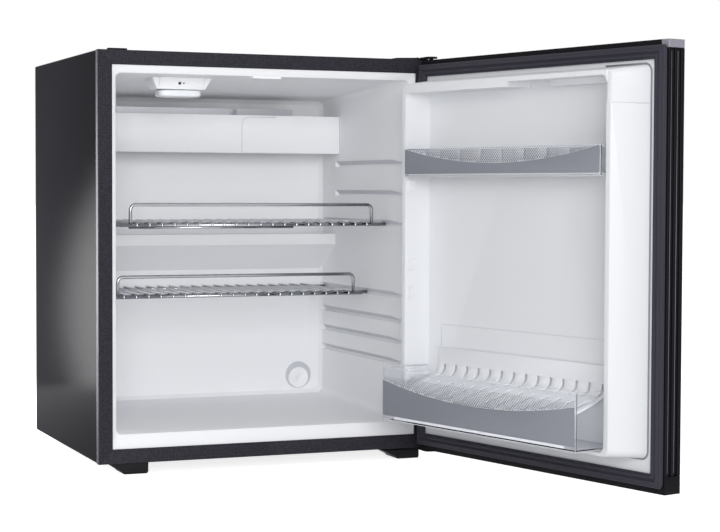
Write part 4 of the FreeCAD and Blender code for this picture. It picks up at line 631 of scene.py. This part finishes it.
makeLens()
print("dots, lines, groove shading and lens made")


# One for the rays of the camera, of gloss and of glass, so that a wire or a clear guard shows what the
# camera sees.
def seenRays(tree):
    path = tree.nodes.new("ShaderNodeLightPath")
    seen = path.outputs["Is Camera Ray"]
    for label in ("Is Glossy Ray", "Is Transmission Ray"):
        larger = tree.nodes.new("ShaderNodeMath")
        larger.operation = "MAXIMUM"
        linkAll(tree, [(seen, larger.inputs[0]), (path.outputs[label], larger.inputs[1])])
        seen = larger.outputs[0]
    return seen


# Floor and backdrop: white to the camera and to gloss and glass, still darkened by the shadow.
stageLook = {"reach": 40.0, "tone": (0.86, 0.86, 0.86, 1), "rough": 0.9, "glow": 0.80}


def makeFloor():
    reach = stageLook["reach"]
    mesh = bpy.data.meshes.new("floor")
    corners = [(-reach, -reach, 0), (reach, -reach, 0), (reach, reach, 0), (-reach, reach, 0)]
    mesh.from_pydata(corners, [], [(0, 1, 2, 3)])
    material = bpy.data.materials.new("paleFloor")
    material.use_nodes = True
    tree = material.node_tree
    shader = tree.nodes["Principled BSDF"]
    shader.inputs["Base Color"].default_value = stageLook["tone"]
    shader.inputs["Roughness"].default_value = stageLook["rough"]
    shader.inputs["Specular IOR Level"].default_value = 0.0
    shader.inputs["Emission Color"].default_value = (1, 1, 1, 1)
    glow = tree.nodes.new("ShaderNodeMath")
    glow.operation = "MULTIPLY"
    glow.inputs[1].default_value = stageLook["glow"]
    linkAll(tree, [(seenRays(tree), glow.inputs[0]), (glow.outputs[0], shader.inputs["Emission Strength"])])
    mesh.materials.append(material)
    floor = bpy.data.objects.new("floor", mesh)
    scene.collection.objects.link(floor)


makeFloor()

# World: a soft white light all round, and full white where it is seen.
worldLook = {"ambient": 0.55, "seen": 1.0}


def makeWorld():
    world = bpy.data.worlds.new("studio")
    scene.world = world
    world.use_nodes = True
    tree = world.node_tree
    back = tree.nodes["Background"]
    back.inputs["Color"].default_value = (1, 1, 1, 1)
    strength = tree.nodes.new("ShaderNodeMapRange")
    strength.inputs["To Min"].default_value = worldLook["ambient"]
    strength.inputs["To Max"].default_value = worldLook["seen"]
    linkAll(tree, [(seenRays(tree), strength.inputs["Value"]),
                   (strength.outputs["Result"], back.inputs["Strength"])])


makeWorld()

# Lamps: a broad front box by the camera, a round one behind that glances along the case's side, and a high
# one for the top. The power is in watts.
lamps = {
    "frontBox": {"place": (-0.5, -3.3, 0.8), "aim": (0.2, 0.1, 0.3), "size": (1.6, 1.2), "power": 55.0},
    "edgeBox": {"place": (-0.635, 0.95, 0.16), "aim": (-0.05, 0.0, 0.19), "size": (0.80, 0.85),
                "power": 30.0, "shape": "ELLIPSE"},
    "topBox": {"place": (0.3, -0.6, 2.6), "aim": (0.25, 0.0, 0.3), "size": (2.0, 2.0), "power": 4.0},
}


def aimed(place, aim):
    back = (np.array(place) - np.array(aim)).astype(float)
    back /= np.linalg.norm(back)
    right = np.cross(alongZ, back)
    right /= np.linalg.norm(right)
    turn = Matrix(np.stack([right, np.cross(back, right), back], axis=1).tolist()).to_4x4()
    return Matrix.Translation(place) @ turn


for name, lamp in lamps.items():
    light = bpy.data.lights.new(name, "AREA")
    light.shape = lamp.get("shape", "RECTANGLE")
    light.size, light.size_y = lamp["size"]
    light.energy = lamp["power"]
    item = bpy.data.objects.new(name, light)
    item.matrix_world = aimed(lamp["place"], lamp["aim"])
    scene.collection.objects.link(item)

# Camera: place and turn worked out from the corners of the case and the door, with the angles about the
# lens's own axes; lens and sensor in millimetres.
shot = {"place": (-0.6837, -2.5038, 0.4029), "tilt": 2.4997, "pan": -22.4346, "roll": 0.2209,
        "lens": 90.95, "sensor": 36.0, "clipEnd": 200.0}


def makeCamera():
    named = (("tilt", "X"), ("pan", "Y"), ("roll", "Z"))
    tilt, pan, roll = [Matrix.Rotation(np.radians(shot[key]), 3, axis) for key, axis in named]
    level = Matrix(((1, 0, 0), (0, 0, -1), (0, 1, 0)))
    view = tilt @ pan @ roll @ level
    axes = Matrix((view[0], -view[1], -view[2])).transposed()
    data = bpy.data.cameras.new("camera")
    data.lens = shot["lens"]
    data.sensor_width = shot["sensor"]
    data.clip_end = shot["clipEnd"]
    camera = bpy.data.objects.new("camera", data)
    camera.matrix_world = Matrix.Translation(shot["place"]) @ axes.to_4x4()
    scene.collection.objects.link(camera)
    scene.camera = camera


makeCamera()
scene.view_settings.view_transform = "Standard"
print("stage, lamps and camera set")
